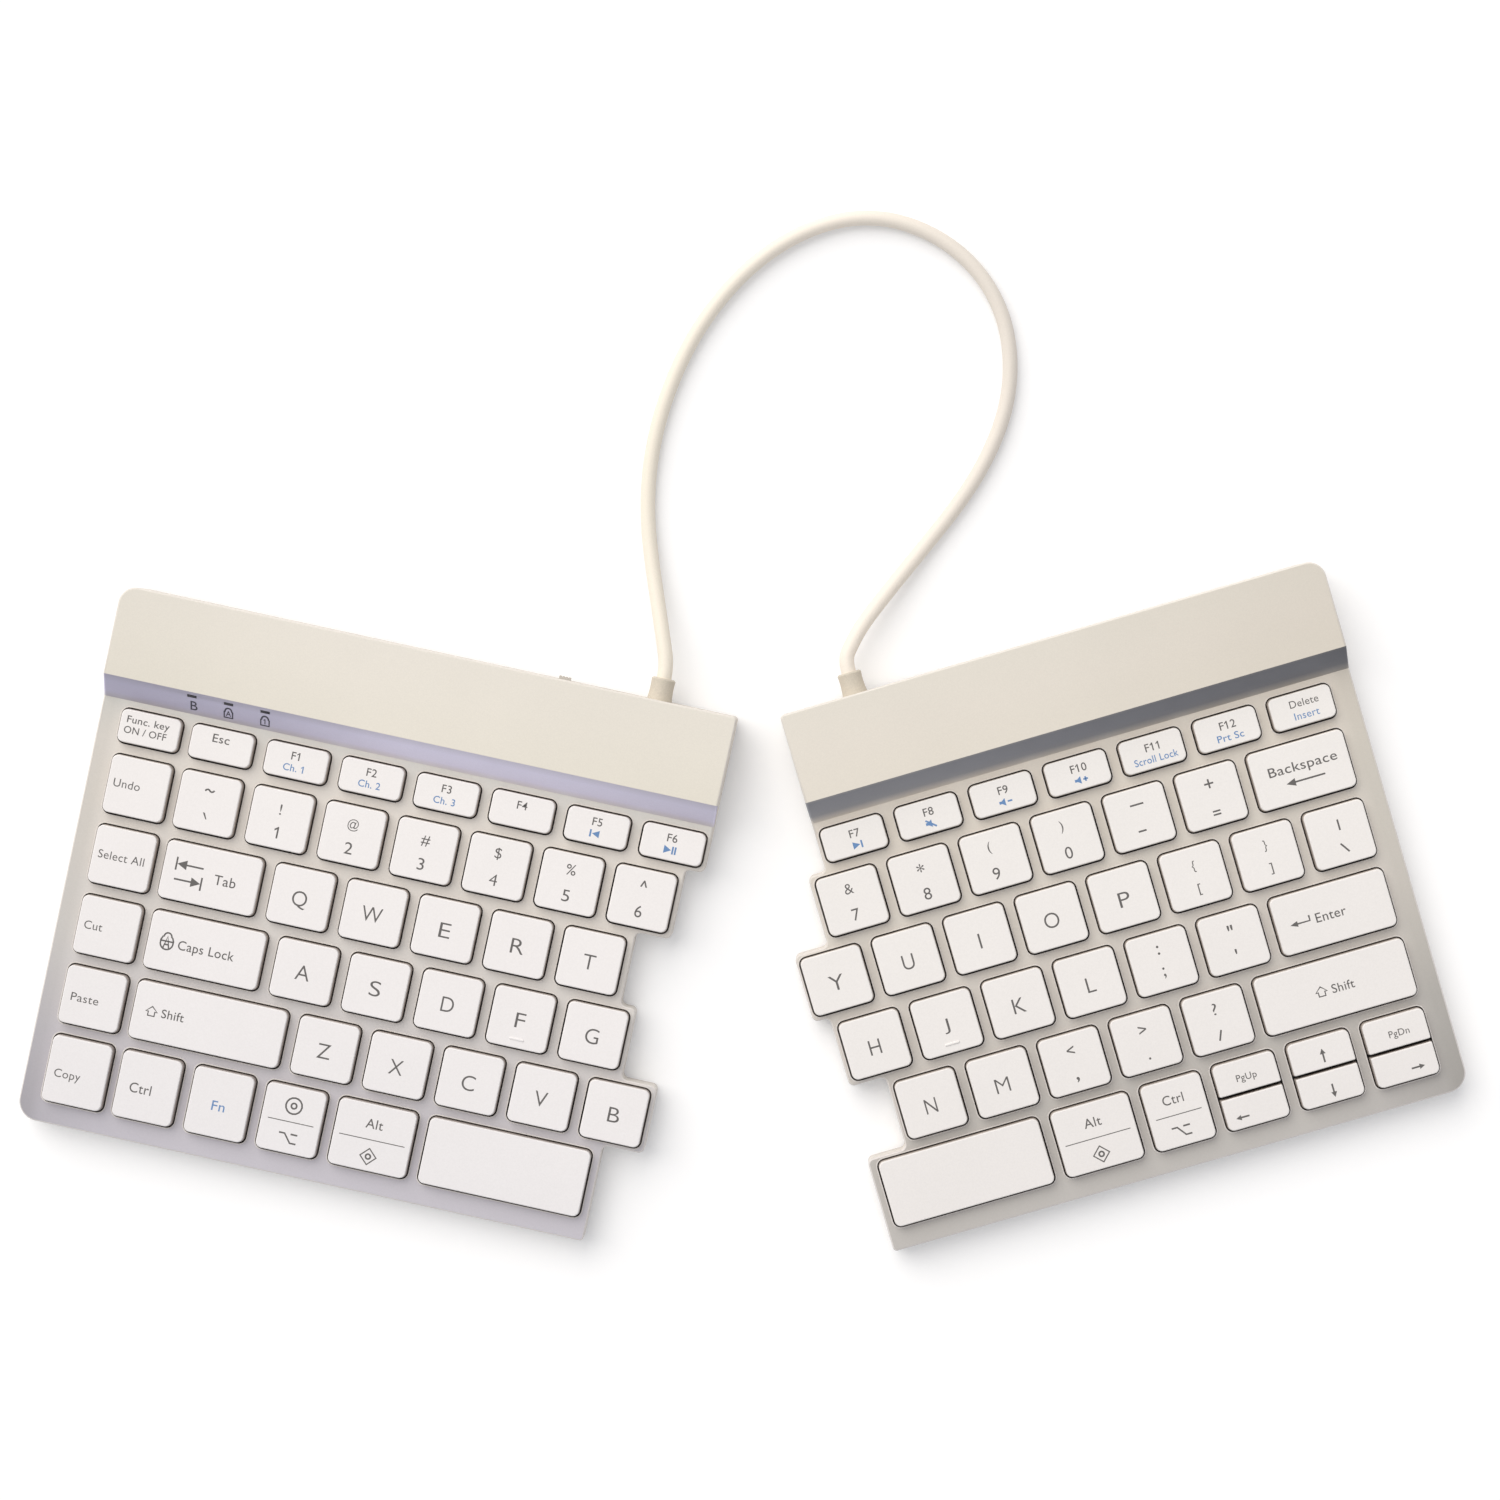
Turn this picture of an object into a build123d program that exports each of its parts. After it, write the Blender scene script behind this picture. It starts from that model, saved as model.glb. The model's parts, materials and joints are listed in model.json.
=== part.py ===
from build123d import *
from math import asin, atan2, cos, pi, radians, sin, tan
import os

# Split keyboard: two halves joined by one flexible cable, in millimetres, +Z up.
# Both halves are laid out in one joined drawing, X to the right and Y to the rear, with its origin at the
# column of the leftmost digit key. Each half then stands turned about a pole behind the rear edge.

os.makedirs("parts", exist_ok=True)

# Key grid
key_pitch = 19.0
row_pitch = 18.45
well_width = 16.8
well_depth = 16.2
function_pitch = 19.73
function_first_x = 0.4
function_well_width = 17.3
function_well_depth = 9.7
thumb_well_depth = 18.4
side_column_x = -18.5
space_well_width = 43.4
pair_gap = 0.5
well_corner_radius = 2.0

# Case outline
left_margin = 5.4
right_margin = 5.9
front_margin = 5.45
band_margin = 1.6
band_run = 5.8
bar_depth = 23.1
rear_corner_radius = 4.5
front_corner_radius = 5.2
split_corner_radius = 1.0
step_corner_radius = 1.5
split_side_gap = 0.3
split_step_gap = 0.8
top_letters_split_shift = 0.5

# Heights, from the surface up
foot_height = 1.0
floor_thickness = 1.4
rib_height = 1.6
plate_thickness = 0.5
membrane_thickness = 0.3
deck_height = 8.2
bar_height = 14.5
cover_thickness = 1.5
wall_thickness = 1.2
top_edge_radius = 0.5
bottom_edge_chamfer = 0.7

# Keycaps
key_gap = 0.4
key_travel = 2.0
cap_proud = 2.4
cap_bottom_gap = 0.4
cap_top_thickness = 1.1
cap_wall = 1.2
cap_corner_radius = 1.6
pair_corner_radius = 0.4
cap_edge_chamfer = 0.25
cap_taper = 2.5
stem_radius = 1.2
home_bar_length = 3.8
home_bar_width = 0.6
home_bar_height = 0.25
home_bar_setback = 2.6

# Key supports
dome_height = 3.0
dome_taper = 15.0
dome_base_share = 0.25
dome_gap = 0.2
scissor_full_length = 10.5
scissor_width = 11.5
scissor_inner_width = 8.3
scissor_bar = 1.2
scissor_short_bar = 0.9
scissor_thickness = 0.7
scissor_clearance = 0.2
scissor_end_clearance = 0.25
pivot_size = 0.6
wire_radius = 0.5
wire_bend_radius = 1.0
wire_arm_length = 5.0
wire_wall_clearance = 0.15
wire_end_clearance = 1.0

# Sealed inner pieces
inner_clearance = 0.4
plate_rear_margin = 1.0
tail_width = 14.0
left_tail_x = 60.0
right_tail_x = 150.0
board_thickness = 1.0
board_front_y = 6.5
board_rear_y = 29.0
board_strip_depth = 5.6
board_left_x = -14.0
board_wide_x = 80.2
board_right_x = 122.4
link_board_left_x = 136.0
link_board_right_x = 176.0
connector_depth = 3.0
connector_height = 1.4
chip_size = 7.0
chip_height = 1.0
battery_left_x = -25.4
battery_right_x = 73.8
battery_front_y = 12.8
battery_rear_y = 27.4
battery_height = 6.0
battery_corner_radius = 1.0
rib_width = 1.2
rib_end_margin = 1.5
rib_shares = (0.14, 0.38, 0.62, 0.86)
post_radius = 1.5

# Indicator light guides
indicator_first_x = -9.05
indicator_pitch = 9.6
indicator_count = 3
indicator_rear_offset = 1.1
guide_width = 2.4
guide_depth = 0.6
guide_clearance = 0.05
lamp_height = 0.8
lamp_width = 1.8
lamp_gap = 0.1

# Rear connections
gland_height = 7.5
left_gland_x = 107.6
right_gland_x = 148.4
gland_base_radius = 3.25
gland_waist_radius = 3.0
gland_tip_radius = 3.1
gland_length = 5.7
gland_neck_radius = 2.4
gland_flange_radius = 3.6
gland_flange_thickness = 1.5
gland_fit = 0.05
gland_corner = 0.4
port_x = 97.0
port_width = 9.0
port_thickness = 3.2
port_shell = 0.3
port_length = 8.2
port_back_thickness = 1.0
port_recess = 0.2
port_clearance = 0.2
tongue_width = 6.7
tongue_thickness = 0.7
tongue_length = 5.0
switch_x = 84.0
switch_travel = 2.5
switch_housing_width = 9.0
switch_housing_depth = 3.6
switch_housing_height = 3.4
knob_width = 3.0
knob_thickness = 1.6
knob_proud = 0.8
knob_rise = 1.8
knob_clearance = 0.3
knob_running_gap = 0.1
knob_grooves = 3
knob_groove_width = 0.3
knob_groove_depth = 0.2

# Screws and feet
screw_radius = 1.0
screw_head_radius = 1.9
screw_head_height = 0.8
screw_length = 3.9
screw_clearance = 0.05
screw_hole_clearance = 0.15
drive_slot_length = 2.2
drive_slot_width = 0.5
drive_slot_depth = 0.4
boss_radius = 2.0
boss_rear_inset = 5.1
boss_front_inset = 3.3
boss_end_inset = 3.7
boss_corner_inset = 5.4
boss_split_inset = 3.6
left_middle_boss_x = 77.0
left_front_boss_x = 45.0
right_middle_boss_x = 200.0
right_front_boss_x = 190.0
foot_radius = 4.5
foot_recess = 0.4
foot_clearance = 0.1
foot_end_inset = 9.0
foot_front_inset = 9.5
foot_rear_inset = 11.0

# Placing of the halves
left_turn = -12.2
right_turn = 16.3
pole_setback = 21.4

# Link cable: route between the two glands, chosen points, and how high it lies there
cable_radius = 1.9
cable_exit_run = 3.4
cable_route = [
    (-19.2, 69.0, 6.6), (-20.7, 78.5, 4.6), (-22.3, 88.8, 3.0), (-23.4, 99.0, 2.1),
    (-23.3, 109.1, 1.9), (-21.9, 119.3, 1.9), (-19.3, 129.2, 1.9), (-15.6, 138.7, 1.9),
    (-10.9, 147.7, 1.9), (-4.9, 156.1, 1.9), (2.1, 163.6, 1.9), (10.2, 169.8, 1.9),
    (19.3, 174.4, 1.9), (29.2, 176.9, 1.9), (39.5, 176.4, 1.9), (49.2, 172.9, 1.9),
    (57.6, 167.2, 1.9), (64.2, 159.5, 1.9), (68.4, 150.2, 1.9), (69.9, 140.0, 1.9),
    (69.1, 129.8, 1.9), (66.0, 120.0, 1.9), (61.4, 110.9, 1.9), (55.8, 102.6, 1.9),
    (49.6, 94.8, 2.1), (43.3, 87.1, 3.0), (37.2, 79.5, 4.5), (31.7, 72.3, 6.2),
    (29.0, 67.3, 7.1),
]
arc_share = 0.45

# Cuts run this far past what they cut
overrun = 1.0

# Worked out from the sizes above
case_bottom_z = foot_height
floor_top_z = case_bottom_z + floor_thickness
plate_z = floor_top_z + rib_height
seam_z = plate_z
membrane_z = plate_z + plate_thickness
membrane_top_z = membrane_z + membrane_thickness
cap_base_z = membrane_top_z + cap_bottom_gap + key_travel
cap_top_z = deck_height + cap_proud
cap_ceiling_z = cap_top_z - cap_top_thickness
board_top_z = plate_z + board_thickness
row_web = row_pitch - well_depth
key_web = key_pitch - well_width
column_left_x = -well_width / 2
block_right_x = 13.5 * key_pitch + well_width / 2
function_row_y = (well_depth + function_well_depth) / 2 + row_web - row_pitch
bottom_row_y = -4 * row_pitch - row_web - (well_depth + thumb_well_depth) / 2
half_key_depth = (thumb_well_depth - 2 * key_gap - pair_gap) / 2
band_front_y = function_row_y + function_well_depth / 2 + band_margin
band_rear_y = band_front_y + band_run
case_left_x = side_column_x - well_width / 2 - left_margin
case_right_x = block_right_x + right_margin
case_rear_y = band_rear_y + bar_depth
case_front_y = bottom_row_y - thumb_well_depth / 2 - front_margin
case_span = case_right_x - case_left_x
plate_rear_y = band_front_y - band_margin + plate_rear_margin
plate_front_y = bottom_row_y - thumb_well_depth / 2
wall_inner_y = case_rear_y - wall_thickness


def wide(units):
    return (units - 1) * key_pitch + well_width


def column_row(first_units, count, row):
    return [((first_units + i) * key_pitch, -row * row_pitch, well_width, well_depth) for i in range(count)]


def left_end(units, row):
    return [(column_left_x + wide(units) / 2, -row * row_pitch, wide(units), well_depth)]


def right_end(first_units, row):
    start = first_units * key_pitch - well_width / 2
    return [((start + block_right_x) / 2, -row * row_pitch, block_right_x - start, well_depth)]


def thumb(x, width=well_width):
    return [(x, bottom_row_y, width, thumb_well_depth)]


def function_cell(x):
    return (x, function_row_y, function_well_width, function_well_depth)


# Key places: centre x, centre y, well width, well depth
alt_well_width = wide(1.25)
left_alt_x = 2 * key_pitch + well_width / 2 + key_web + alt_well_width / 2
left_space_x = left_alt_x + alt_well_width / 2 + key_web + space_well_width / 2
arrow_right_x = block_right_x - function_well_width / 2
arrow_middle_x = arrow_right_x - function_pitch
arrow_left_x = arrow_middle_x - function_pitch
right_control_x = arrow_left_x - function_well_width / 2 - key_web - well_width / 2
right_alt_x = right_control_x - well_width / 2 - key_web - alt_well_width / 2
right_space_x = right_alt_x - alt_well_width / 2 - key_web - space_well_width / 2
function_last_x = arrow_right_x

left_keys = {
    "function_lock": [(side_column_x, function_row_y, well_width, function_well_depth)],
    "escape": [function_cell(function_first_x)],
    "function_row_left": [function_cell(function_first_x + (i + 1) * function_pitch) for i in range(6)],
    "shortcut_keys": [(side_column_x, -row * row_pitch, well_width, well_depth) for row in (1, 2, 3, 4)]
    + thumb(side_column_x),
    "digit_keys_left": column_row(0, 7, 1),
    "tab": left_end(1.5, 2),
    "top_letter_keys_left": column_row(1.5, 5, 2),
    "caps_lock": left_end(1.75, 3),
    "home_letter_keys_left": column_row(1.75, 5, 3),
    "left_shift": left_end(2.25, 4),
    "bottom_letter_keys_left": column_row(2.25, 5, 4),
    "left_control": thumb(0),
    "fn": thumb(key_pitch),
    "left_meta": thumb(2 * key_pitch),
    "left_alt": thumb(left_alt_x, alt_well_width),
    "left_space": thumb(left_space_x, space_well_width),
}
right_keys = {
    "function_row_right": [function_cell(function_last_x - (i + 1) * function_pitch) for i in range(6)],
    "delete": [function_cell(function_last_x)],
    "digit_keys_right": column_row(7, 6, 1),
    "backspace": right_end(13, 1),
    "top_letter_keys_right": column_row(6.5, 8, 2),
    "home_letter_keys_right": column_row(6.75, 6, 3),
    "enter": right_end(12.75, 3),
    "bottom_letter_keys_right": column_row(7.25, 5, 4),
    "right_shift": right_end(12.25, 4),
    "right_space": thumb(right_space_x, space_well_width),
    "right_alt": thumb(right_alt_x, alt_well_width),
    "right_control": thumb(right_control_x),
}
rear_half_keys = {
    "page_keys": thumb(arrow_left_x, function_well_width) + thumb(arrow_right_x, function_well_width),
    "arrow_up": thumb(arrow_middle_x, function_well_width),
}
front_half_keys = {
    "arrow_left": thumb(arrow_left_x, function_well_width),
    "arrow_down": thumb(arrow_middle_x, function_well_width),
    "arrow_right": thumb(arrow_right_x, function_well_width),
}
home_bar_places = {
    "home_letter_keys_left": (4.75 * key_pitch, -3 * row_pitch),
    "home_letter_keys_right": (7.75 * key_pitch, -3 * row_pitch),
}
wired_keys = ("caps_lock", "left_shift", "left_space", "backspace", "enter", "right_shift", "right_space")

# The split line runs midway between the facing wells of each row
split_xs = [
    (function_first_x + 6 * function_pitch + function_last_x - 6 * function_pitch) / 2,
    6.5 * key_pitch,
    6 * key_pitch + top_letters_split_shift,
    6.25 * key_pitch,
    6.75 * key_pitch,
    (left_space_x + right_space_x) / 2,
]
split_ys = [row_web / 2 + well_depth / 2 - row * row_pitch for row in (1, 2, 3, 4)]
split_ys.append(-4 * row_pitch - (well_depth + row_web) / 2)
pole_x = split_xs[0]
pole_y = case_rear_y + pole_setback


def split_edge(side):
    # side is -1 for the left half and 1 for the right half; points run from the rear to the front
    points = [(split_xs[0] + side * split_side_gap / 2, case_rear_y)]
    for upper_x, lower_x, y in zip(split_xs, split_xs[1:], split_ys):
        lift = split_step_gap / 2 if (upper_x - lower_x) * side < 0 else -split_step_gap / 2
        points.append((upper_x + side * split_side_gap / 2, y + lift))
        points.append((lower_x + side * split_side_gap / 2, y + lift))
    points.append((split_xs[-1] + side * split_side_gap / 2, case_front_y))
    return points


def outline(side):
    outer_x = case_left_x if side < 0 else case_right_x
    edge = split_edge(side)
    steps = [step_corner_radius] * (len(edge) - 2)
    corners = [(outer_x, case_rear_y)] + edge + [(outer_x, case_front_y)]
    radii = [rear_corner_radius, split_corner_radius] + steps + [split_corner_radius, front_corner_radius]
    # Both outlines run anticlockwise
    return (corners[::-1], radii[::-1]) if side < 0 else (corners, radii)


def half_frame(turn, pole_place):
    arm = Vector(pole_x, pole_y, 0).rotate(Axis.Z, turn)
    return Plane(origin=pole_place - arm, x_dir=Vector(1, 0, 0).rotate(Axis.Z, turn), z_dir=(0, 0, 1))


def draw_outline(side):
    corners, radii = outline(side)
    with BuildLine(Plane.XY) as edge:
        FilletPolyline(*corners, radius=radii, close=True)
    make_face(edge.edges())


# The two footprints, first about the pole, give the centre that the whole object stands on
footprints = []
for side, turn in ((-1, left_turn), (1, right_turn)):
    with BuildSketch(half_frame(turn, Vector(0, 0, 0))) as footprint:
        draw_outline(side)
    footprints.append(footprint.sketch.bounding_box())
both = footprints[0].add(footprints[1])
pole_place = Vector(-both.center().X, -both.center().Y, 0)
left = half_frame(left_turn, pole_place)
right = half_frame(right_turn, pole_place)
print("pole", pole_place, "footprint", both.size)


def section_plane(frame):
    # Y of the half to the right, Z up
    return Plane(origin=frame.origin, x_dir=frame.y_dir, z_dir=frame.x_dir)


def rear_plane(frame, x, y, z):
    # X of the half reversed, Z up, looking out of the rear edge
    return Plane(origin=frame.from_local_coords((x, y, z)), x_dir=-frame.x_dir, z_dir=frame.y_dir)


def publish(part, name):
    part.label = name
    export_step(part, f"parts/{name}.step")


# Cover form: deck, sloped band and raised bar over one footprint
band_angle = atan2(bar_height - deck_height, band_run)


def cover_form(frame, side, inset, drop, base_z):
    shift = drop * tan(band_angle / 2)
    with BuildPart() as form:
        with BuildSketch(frame.offset(base_z)):
            draw_outline(side)
            if inset:
                offset(amount=-inset, kind=Kind.INTERSECTION, mode=Mode.REPLACE)
        extrude(amount=bar_height - drop - base_z)
        with BuildSketch(section_plane(frame)):
            with BuildLine():
                Polyline(
                    (case_front_y - overrun, deck_height - drop),
                    (band_front_y + shift, deck_height - drop),
                    (band_rear_y + shift, bar_height - drop),
                    (band_rear_y + shift, bar_height + overrun),
                    (case_front_y - overrun, bar_height + overrun),
                    close=True,
                )
            make_face()
        extrude(amount=case_span, both=True, mode=Mode.SUBTRACT)
    return form.part


def rounded_cover_form(frame, side):
    with BuildPart() as form:
        add(cover_form(frame, side, 0, 0, seam_z))
        # The band leans most of the faces that look up; walls lean further
        tops = form.faces().filter_by(lambda face: face.normal_at().Z > cos(band_angle) / 2)
        rim = [edge for edge in form.edges() if sum(edge in face.edges() for face in tops) == 1]
        fillet(rim, top_edge_radius)
    return form.part


def cut_wells(frame, cells, low_z, high_z):
    with BuildSketch(frame.offset(low_z)) as wells:
        for x, y, width, depth in cells:
            with Locations((x, y)):
                RectangleRounded(width, depth, well_corner_radius)
    extrude(wells.sketch, amount=high_z - low_z, mode=Mode.SUBTRACT)


left_bosses_rear = [case_left_x + boss_end_inset, left_middle_boss_x, split_xs[0] - boss_split_inset]
left_bosses_front = [case_left_x + boss_corner_inset, left_front_boss_x]
left_bosses_front.append(split_xs[-1] - boss_corner_inset)
right_bosses_rear = [split_xs[0] + boss_split_inset, right_middle_boss_x, case_right_x - boss_end_inset]
right_bosses_front = [split_xs[-1] + boss_corner_inset, right_front_boss_x]
right_bosses_front.append(case_right_x - boss_corner_inset)
rear_boss_y = case_rear_y - boss_rear_inset
front_boss_y = case_front_y + boss_front_inset
boss_places = {
    "left": [(x, rear_boss_y) for x in left_bosses_rear] + [(x, front_boss_y) for x in left_bosses_front],
    "right": [(x, rear_boss_y) for x in right_bosses_rear] + [(x, front_boss_y) for x in right_bosses_front],
}
indicator_y = band_rear_y - indicator_rear_offset
indicator_xs = [indicator_first_x + i * indicator_pitch for i in range(indicator_count)]
indicator_places = [(x, indicator_y) for x in indicator_xs]


def top_cover(frame, side, name, cells, gland_x):
    inner = cover_form(frame, side, wall_thickness, cover_thickness, seam_z)
    with BuildPart() as cover:
        add(rounded_cover_form(frame, side))
        add(inner, mode=Mode.SUBTRACT)
        # Screw bosses reach down to the floor of the bottom case
        with BuildSketch(frame.offset(floor_top_z)):
            with Locations(*boss_places[name][:3]):
                Circle(boss_radius)
        extrude(amount=bar_height - cover_thickness - floor_top_z)
        with BuildSketch(frame.offset(floor_top_z)):
            with Locations(*boss_places[name][3:]):
                Circle(boss_radius)
        extrude(amount=deck_height - cover_thickness - floor_top_z)
        with BuildSketch(frame.offset(floor_top_z)):
            with Locations(*boss_places[name]):
                Circle(screw_radius + screw_clearance)
        extrude(amount=screw_length, mode=Mode.SUBTRACT)
        cut_wells(frame, cells, seam_z, deck_height + overrun)
        # Hole for the gland's neck
        with BuildSketch(rear_plane(frame, gland_x, wall_inner_y, gland_height)):
            Circle(gland_neck_radius + gland_fit)
        extrude(amount=wall_thickness, mode=Mode.SUBTRACT)
        if side < 0:
            # Openings for the charging port, the power switch knob and the light guides
            with BuildSketch(rear_plane(frame, port_x, wall_inner_y, board_top_z + port_thickness / 2)):
                RectangleRounded(
                    port_width + 2 * port_clearance,
                    port_thickness + 2 * port_clearance,
                    port_thickness / 2,
                )
            extrude(amount=wall_thickness, mode=Mode.SUBTRACT)
            with BuildSketch(rear_plane(frame, switch_x, wall_inner_y, board_top_z + knob_rise)):
                Rectangle(
                    knob_width + switch_travel + 2 * knob_clearance,
                    knob_thickness + 2 * knob_clearance,
                )
            extrude(amount=wall_thickness, mode=Mode.SUBTRACT)
            with BuildSketch(frame.offset(board_top_z)):
                with Locations(*indicator_places):
                    Rectangle(guide_width + 2 * guide_clearance, guide_depth + 2 * guide_clearance)
            extrude(amount=bar_height - board_top_z, mode=Mode.SUBTRACT)
    return cover.part


def bottom_case(frame, side, name, foot_centres, posts):
    low_x, high_x = rib_span(side)
    with BuildPart() as case:
        with BuildSketch(frame.offset(case_bottom_z)):
            draw_outline(side)
        extrude(amount=seam_z - case_bottom_z)
        chamfer(case.faces().sort_by(Axis.Z)[0].outer_wire().edges(), bottom_edge_chamfer)
        with BuildSketch(frame.offset(floor_top_z)):
            draw_outline(side)
            offset(amount=-wall_thickness, kind=Kind.INTERSECTION, mode=Mode.REPLACE)
        extrude(amount=seam_z - floor_top_z, mode=Mode.SUBTRACT)
        # Ribs carry the switch plate, posts carry the board
        rib_length = plate_rear_y - plate_front_y - 2 * rib_end_margin
        rib_y = (plate_rear_y + plate_front_y) / 2
        with BuildSketch(frame.offset(floor_top_z)):
            with Locations(*[(low_x + share * (high_x - low_x), rib_y) for share in rib_shares]):
                Rectangle(rib_width, rib_length)
            with Locations(*posts):
                Circle(post_radius)
        extrude(amount=rib_height)
        # Screw holes with counterbores for the heads
        with BuildSketch(frame.offset(case_bottom_z)):
            with Locations(*boss_places[name]):
                Circle(screw_radius + screw_hole_clearance)
        extrude(amount=floor_thickness, mode=Mode.SUBTRACT)
        with BuildSketch(frame.offset(case_bottom_z)):
            with Locations(*boss_places[name]):
                Circle(screw_head_radius + screw_hole_clearance)
        extrude(amount=screw_head_height, mode=Mode.SUBTRACT)
        with BuildSketch(frame.offset(case_bottom_z)):
            with Locations(*foot_centres):
                Circle(foot_radius + foot_clearance)
        extrude(amount=foot_recess, mode=Mode.SUBTRACT)
    return case.part


def rib_span(side):
    if side < 0:
        return case_left_x + wall_thickness, min(split_xs) - wall_thickness
    return max(split_xs) + wall_thickness, case_right_x - wall_thickness


def feet_places(side):
    outer_x = case_left_x if side < 0 else case_right_x
    rear_y = case_rear_y - foot_rear_inset
    front_y = case_front_y + foot_front_inset
    return [
        (outer_x - side * foot_end_inset, rear_y),
        (split_xs[0] + side * foot_end_inset, rear_y),
        (outer_x - side * foot_end_inset, front_y),
        (split_xs[-1] + side * foot_end_inset, front_y),
    ]


def feet(frame, places):
    with BuildPart() as pads:
        with BuildSketch(frame):
            with Locations(*places):
                Circle(foot_radius)
        extrude(amount=foot_height + foot_recess)
    return pads.part


def screws(frame, places):
    with BuildPart() as fixings:
        with BuildSketch(frame.offset(case_bottom_z)):
            with Locations(*places):
                Circle(screw_head_radius)
        extrude(amount=screw_head_height)
        with BuildSketch(frame.offset(case_bottom_z + screw_head_height)):
            with Locations(*places):
                Circle(screw_radius)
        extrude(amount=floor_thickness - screw_head_height + screw_length - screw_clearance)
        with BuildSketch(frame.offset(case_bottom_z)):
            with Locations(*places):
                Rectangle(drive_slot_length, drive_slot_width)
                Rectangle(drive_slot_width, drive_slot_length)
        extrude(amount=drive_slot_depth, mode=Mode.SUBTRACT)
    return fixings.part


def plate_outline(side):
    draw_outline(side)
    offset(amount=-wall_thickness - inner_clearance, kind=Kind.INTERSECTION, mode=Mode.REPLACE)
    with Locations(((case_left_x + case_right_x) / 2, (plate_rear_y + plate_front_y) / 2)):
        Rectangle(case_span, plate_rear_y - plate_front_y, mode=Mode.INTERSECT)


def switch_plate(frame, side):
    with BuildPart() as plate:
        with BuildSketch(frame.offset(plate_z)):
            plate_outline(side)
        extrude(amount=plate_thickness)
    return plate.part


def membrane(frame, side, tail_x):
    with BuildPart() as sheet:
        with BuildSketch(frame.offset(membrane_z)):
            plate_outline(side)
            with Locations((tail_x, plate_rear_y)):
                Rectangle(tail_width, board_front_y - plate_rear_y, align=(Align.CENTER, Align.MIN))
        extrude(amount=membrane_thickness)
    return sheet.part


# Keycaps: hollow, tapered, with a stem over the dome
def draw_caps(cells, inset, radius, half):
    # half is 1 for the rear cap of a pair, -1 for the front one, and 0 for a cap that fills its well
    rear_radius = pair_corner_radius if half < 0 else radius
    front_radius = pair_corner_radius if half > 0 else radius
    for x, y, width, depth in cells:
        side_x = width / 2 - inset
        rear_y = y - pair_gap / 2 + key_gap - inset if half < 0 else y + depth / 2 - inset
        front_y = y + pair_gap / 2 - key_gap + inset if half > 0 else y - depth / 2 + inset
        with BuildLine(Plane.XY) as edge:
            FilletPolyline(
                (x + side_x, rear_y),
                (x - side_x, rear_y),
                (x - side_x, front_y),
                (x + side_x, front_y),
                radius=[rear_radius, rear_radius, front_radius, front_radius],
                close=True,
            )
        make_face(edge.edges())


def key_centres(cells, half):
    return [(x, y + half * (pair_gap + half_key_depth) / 2) for x, y, width, depth in cells]


def keycaps(frame, cells, half, bar_place):
    with BuildPart() as caps:
        with BuildSketch(frame.offset(cap_base_z)):
            draw_caps(cells, key_gap, cap_corner_radius, half)
        extrude(amount=cap_top_z - cap_base_z, taper=cap_taper)
        chamfer(caps.edges().group_by(Axis.Z)[-1], cap_edge_chamfer)
        if bar_place:
            with BuildSketch(frame.offset(cap_ceiling_z)):
                x, y = bar_place
                with Locations((x, y - well_depth / 2 + key_gap + home_bar_setback)):
                    SlotOverall(home_bar_length, home_bar_width)
            extrude(amount=cap_top_thickness + home_bar_height)
        with BuildSketch(frame.offset(cap_base_z)):
            draw_caps(cells, key_gap + cap_wall, cap_corner_radius / 2, half)
        extrude(amount=cap_ceiling_z - cap_base_z, mode=Mode.SUBTRACT)
        with BuildSketch(frame.offset(membrane_top_z + dome_height + dome_gap)):
            with Locations(*key_centres(cells, half)):
                Circle(stem_radius)
        extrude(amount=cap_ceiling_z - membrane_top_z - dome_height - dome_gap)
    return caps.part


# Supports under the keys, row by row: each row shares its depth and its centre line
def key_rows(keys):
    rows = {}
    for cells, half in keys:
        for (x, y), cell in zip(key_centres(cells, half), cells):
            depth = half_key_depth + 2 * key_gap if half else cell[3]
            rows.setdefault((y, depth), []).append(x)
    return rows


def arm_length(depth):
    return min(scissor_full_length, depth - 2 * (key_gap + cap_wall + scissor_end_clearance))


def domes(frame, keys):
    with BuildPart() as cups:
        for (y, depth), xs in key_rows(keys).items():
            with BuildSketch(frame.offset(membrane_top_z)):
                with Locations(*[(x, y) for x in xs]):
                    Circle(dome_base_share * arm_length(depth))
            extrude(amount=dome_height, taper=dome_taper)
    return cups.part


def scissors(frame, keys):
    room = cap_ceiling_z - membrane_top_z - 2 * scissor_clearance
    middle_z = (cap_ceiling_z + membrane_top_z) / 2
    with BuildPart() as frames:
        for (y, depth), xs in key_rows(keys).items():
            length = arm_length(depth)
            bar = scissor_bar if length == scissor_full_length else scissor_short_bar
            tilt = asin((room - scissor_thickness) / length)
            for width, turn in ((scissor_width, tilt), (scissor_inner_width, -tilt)):
                plane = Plane(
                    origin=frame.from_local_coords((0, y, middle_z)),
                    x_dir=frame.x_dir,
                    z_dir=frame.z_dir * cos(turn) - frame.y_dir * sin(turn),
                )
                with BuildSketch(plane):
                    with Locations(*[(x, 0) for x in xs]):
                        Rectangle(width, length)
                        Rectangle(width - 2 * bar, length - 2 * bar, mode=Mode.SUBTRACT)
                extrude(amount=scissor_thickness / 2, both=True)
            # Pivot pins join the inner ring to the outer one
            pin_x = (scissor_inner_width + scissor_width) / 4 - bar / 2
            with BuildSketch(frame.offset(middle_z)):
                with Locations(*[(x + side * pin_x, y) for x in xs for side in (-1, 1)]):
                    Rectangle((scissor_width - scissor_inner_width) / 2, pivot_size)
            extrude(amount=pivot_size / 2, both=True)
    return frames.part


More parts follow.
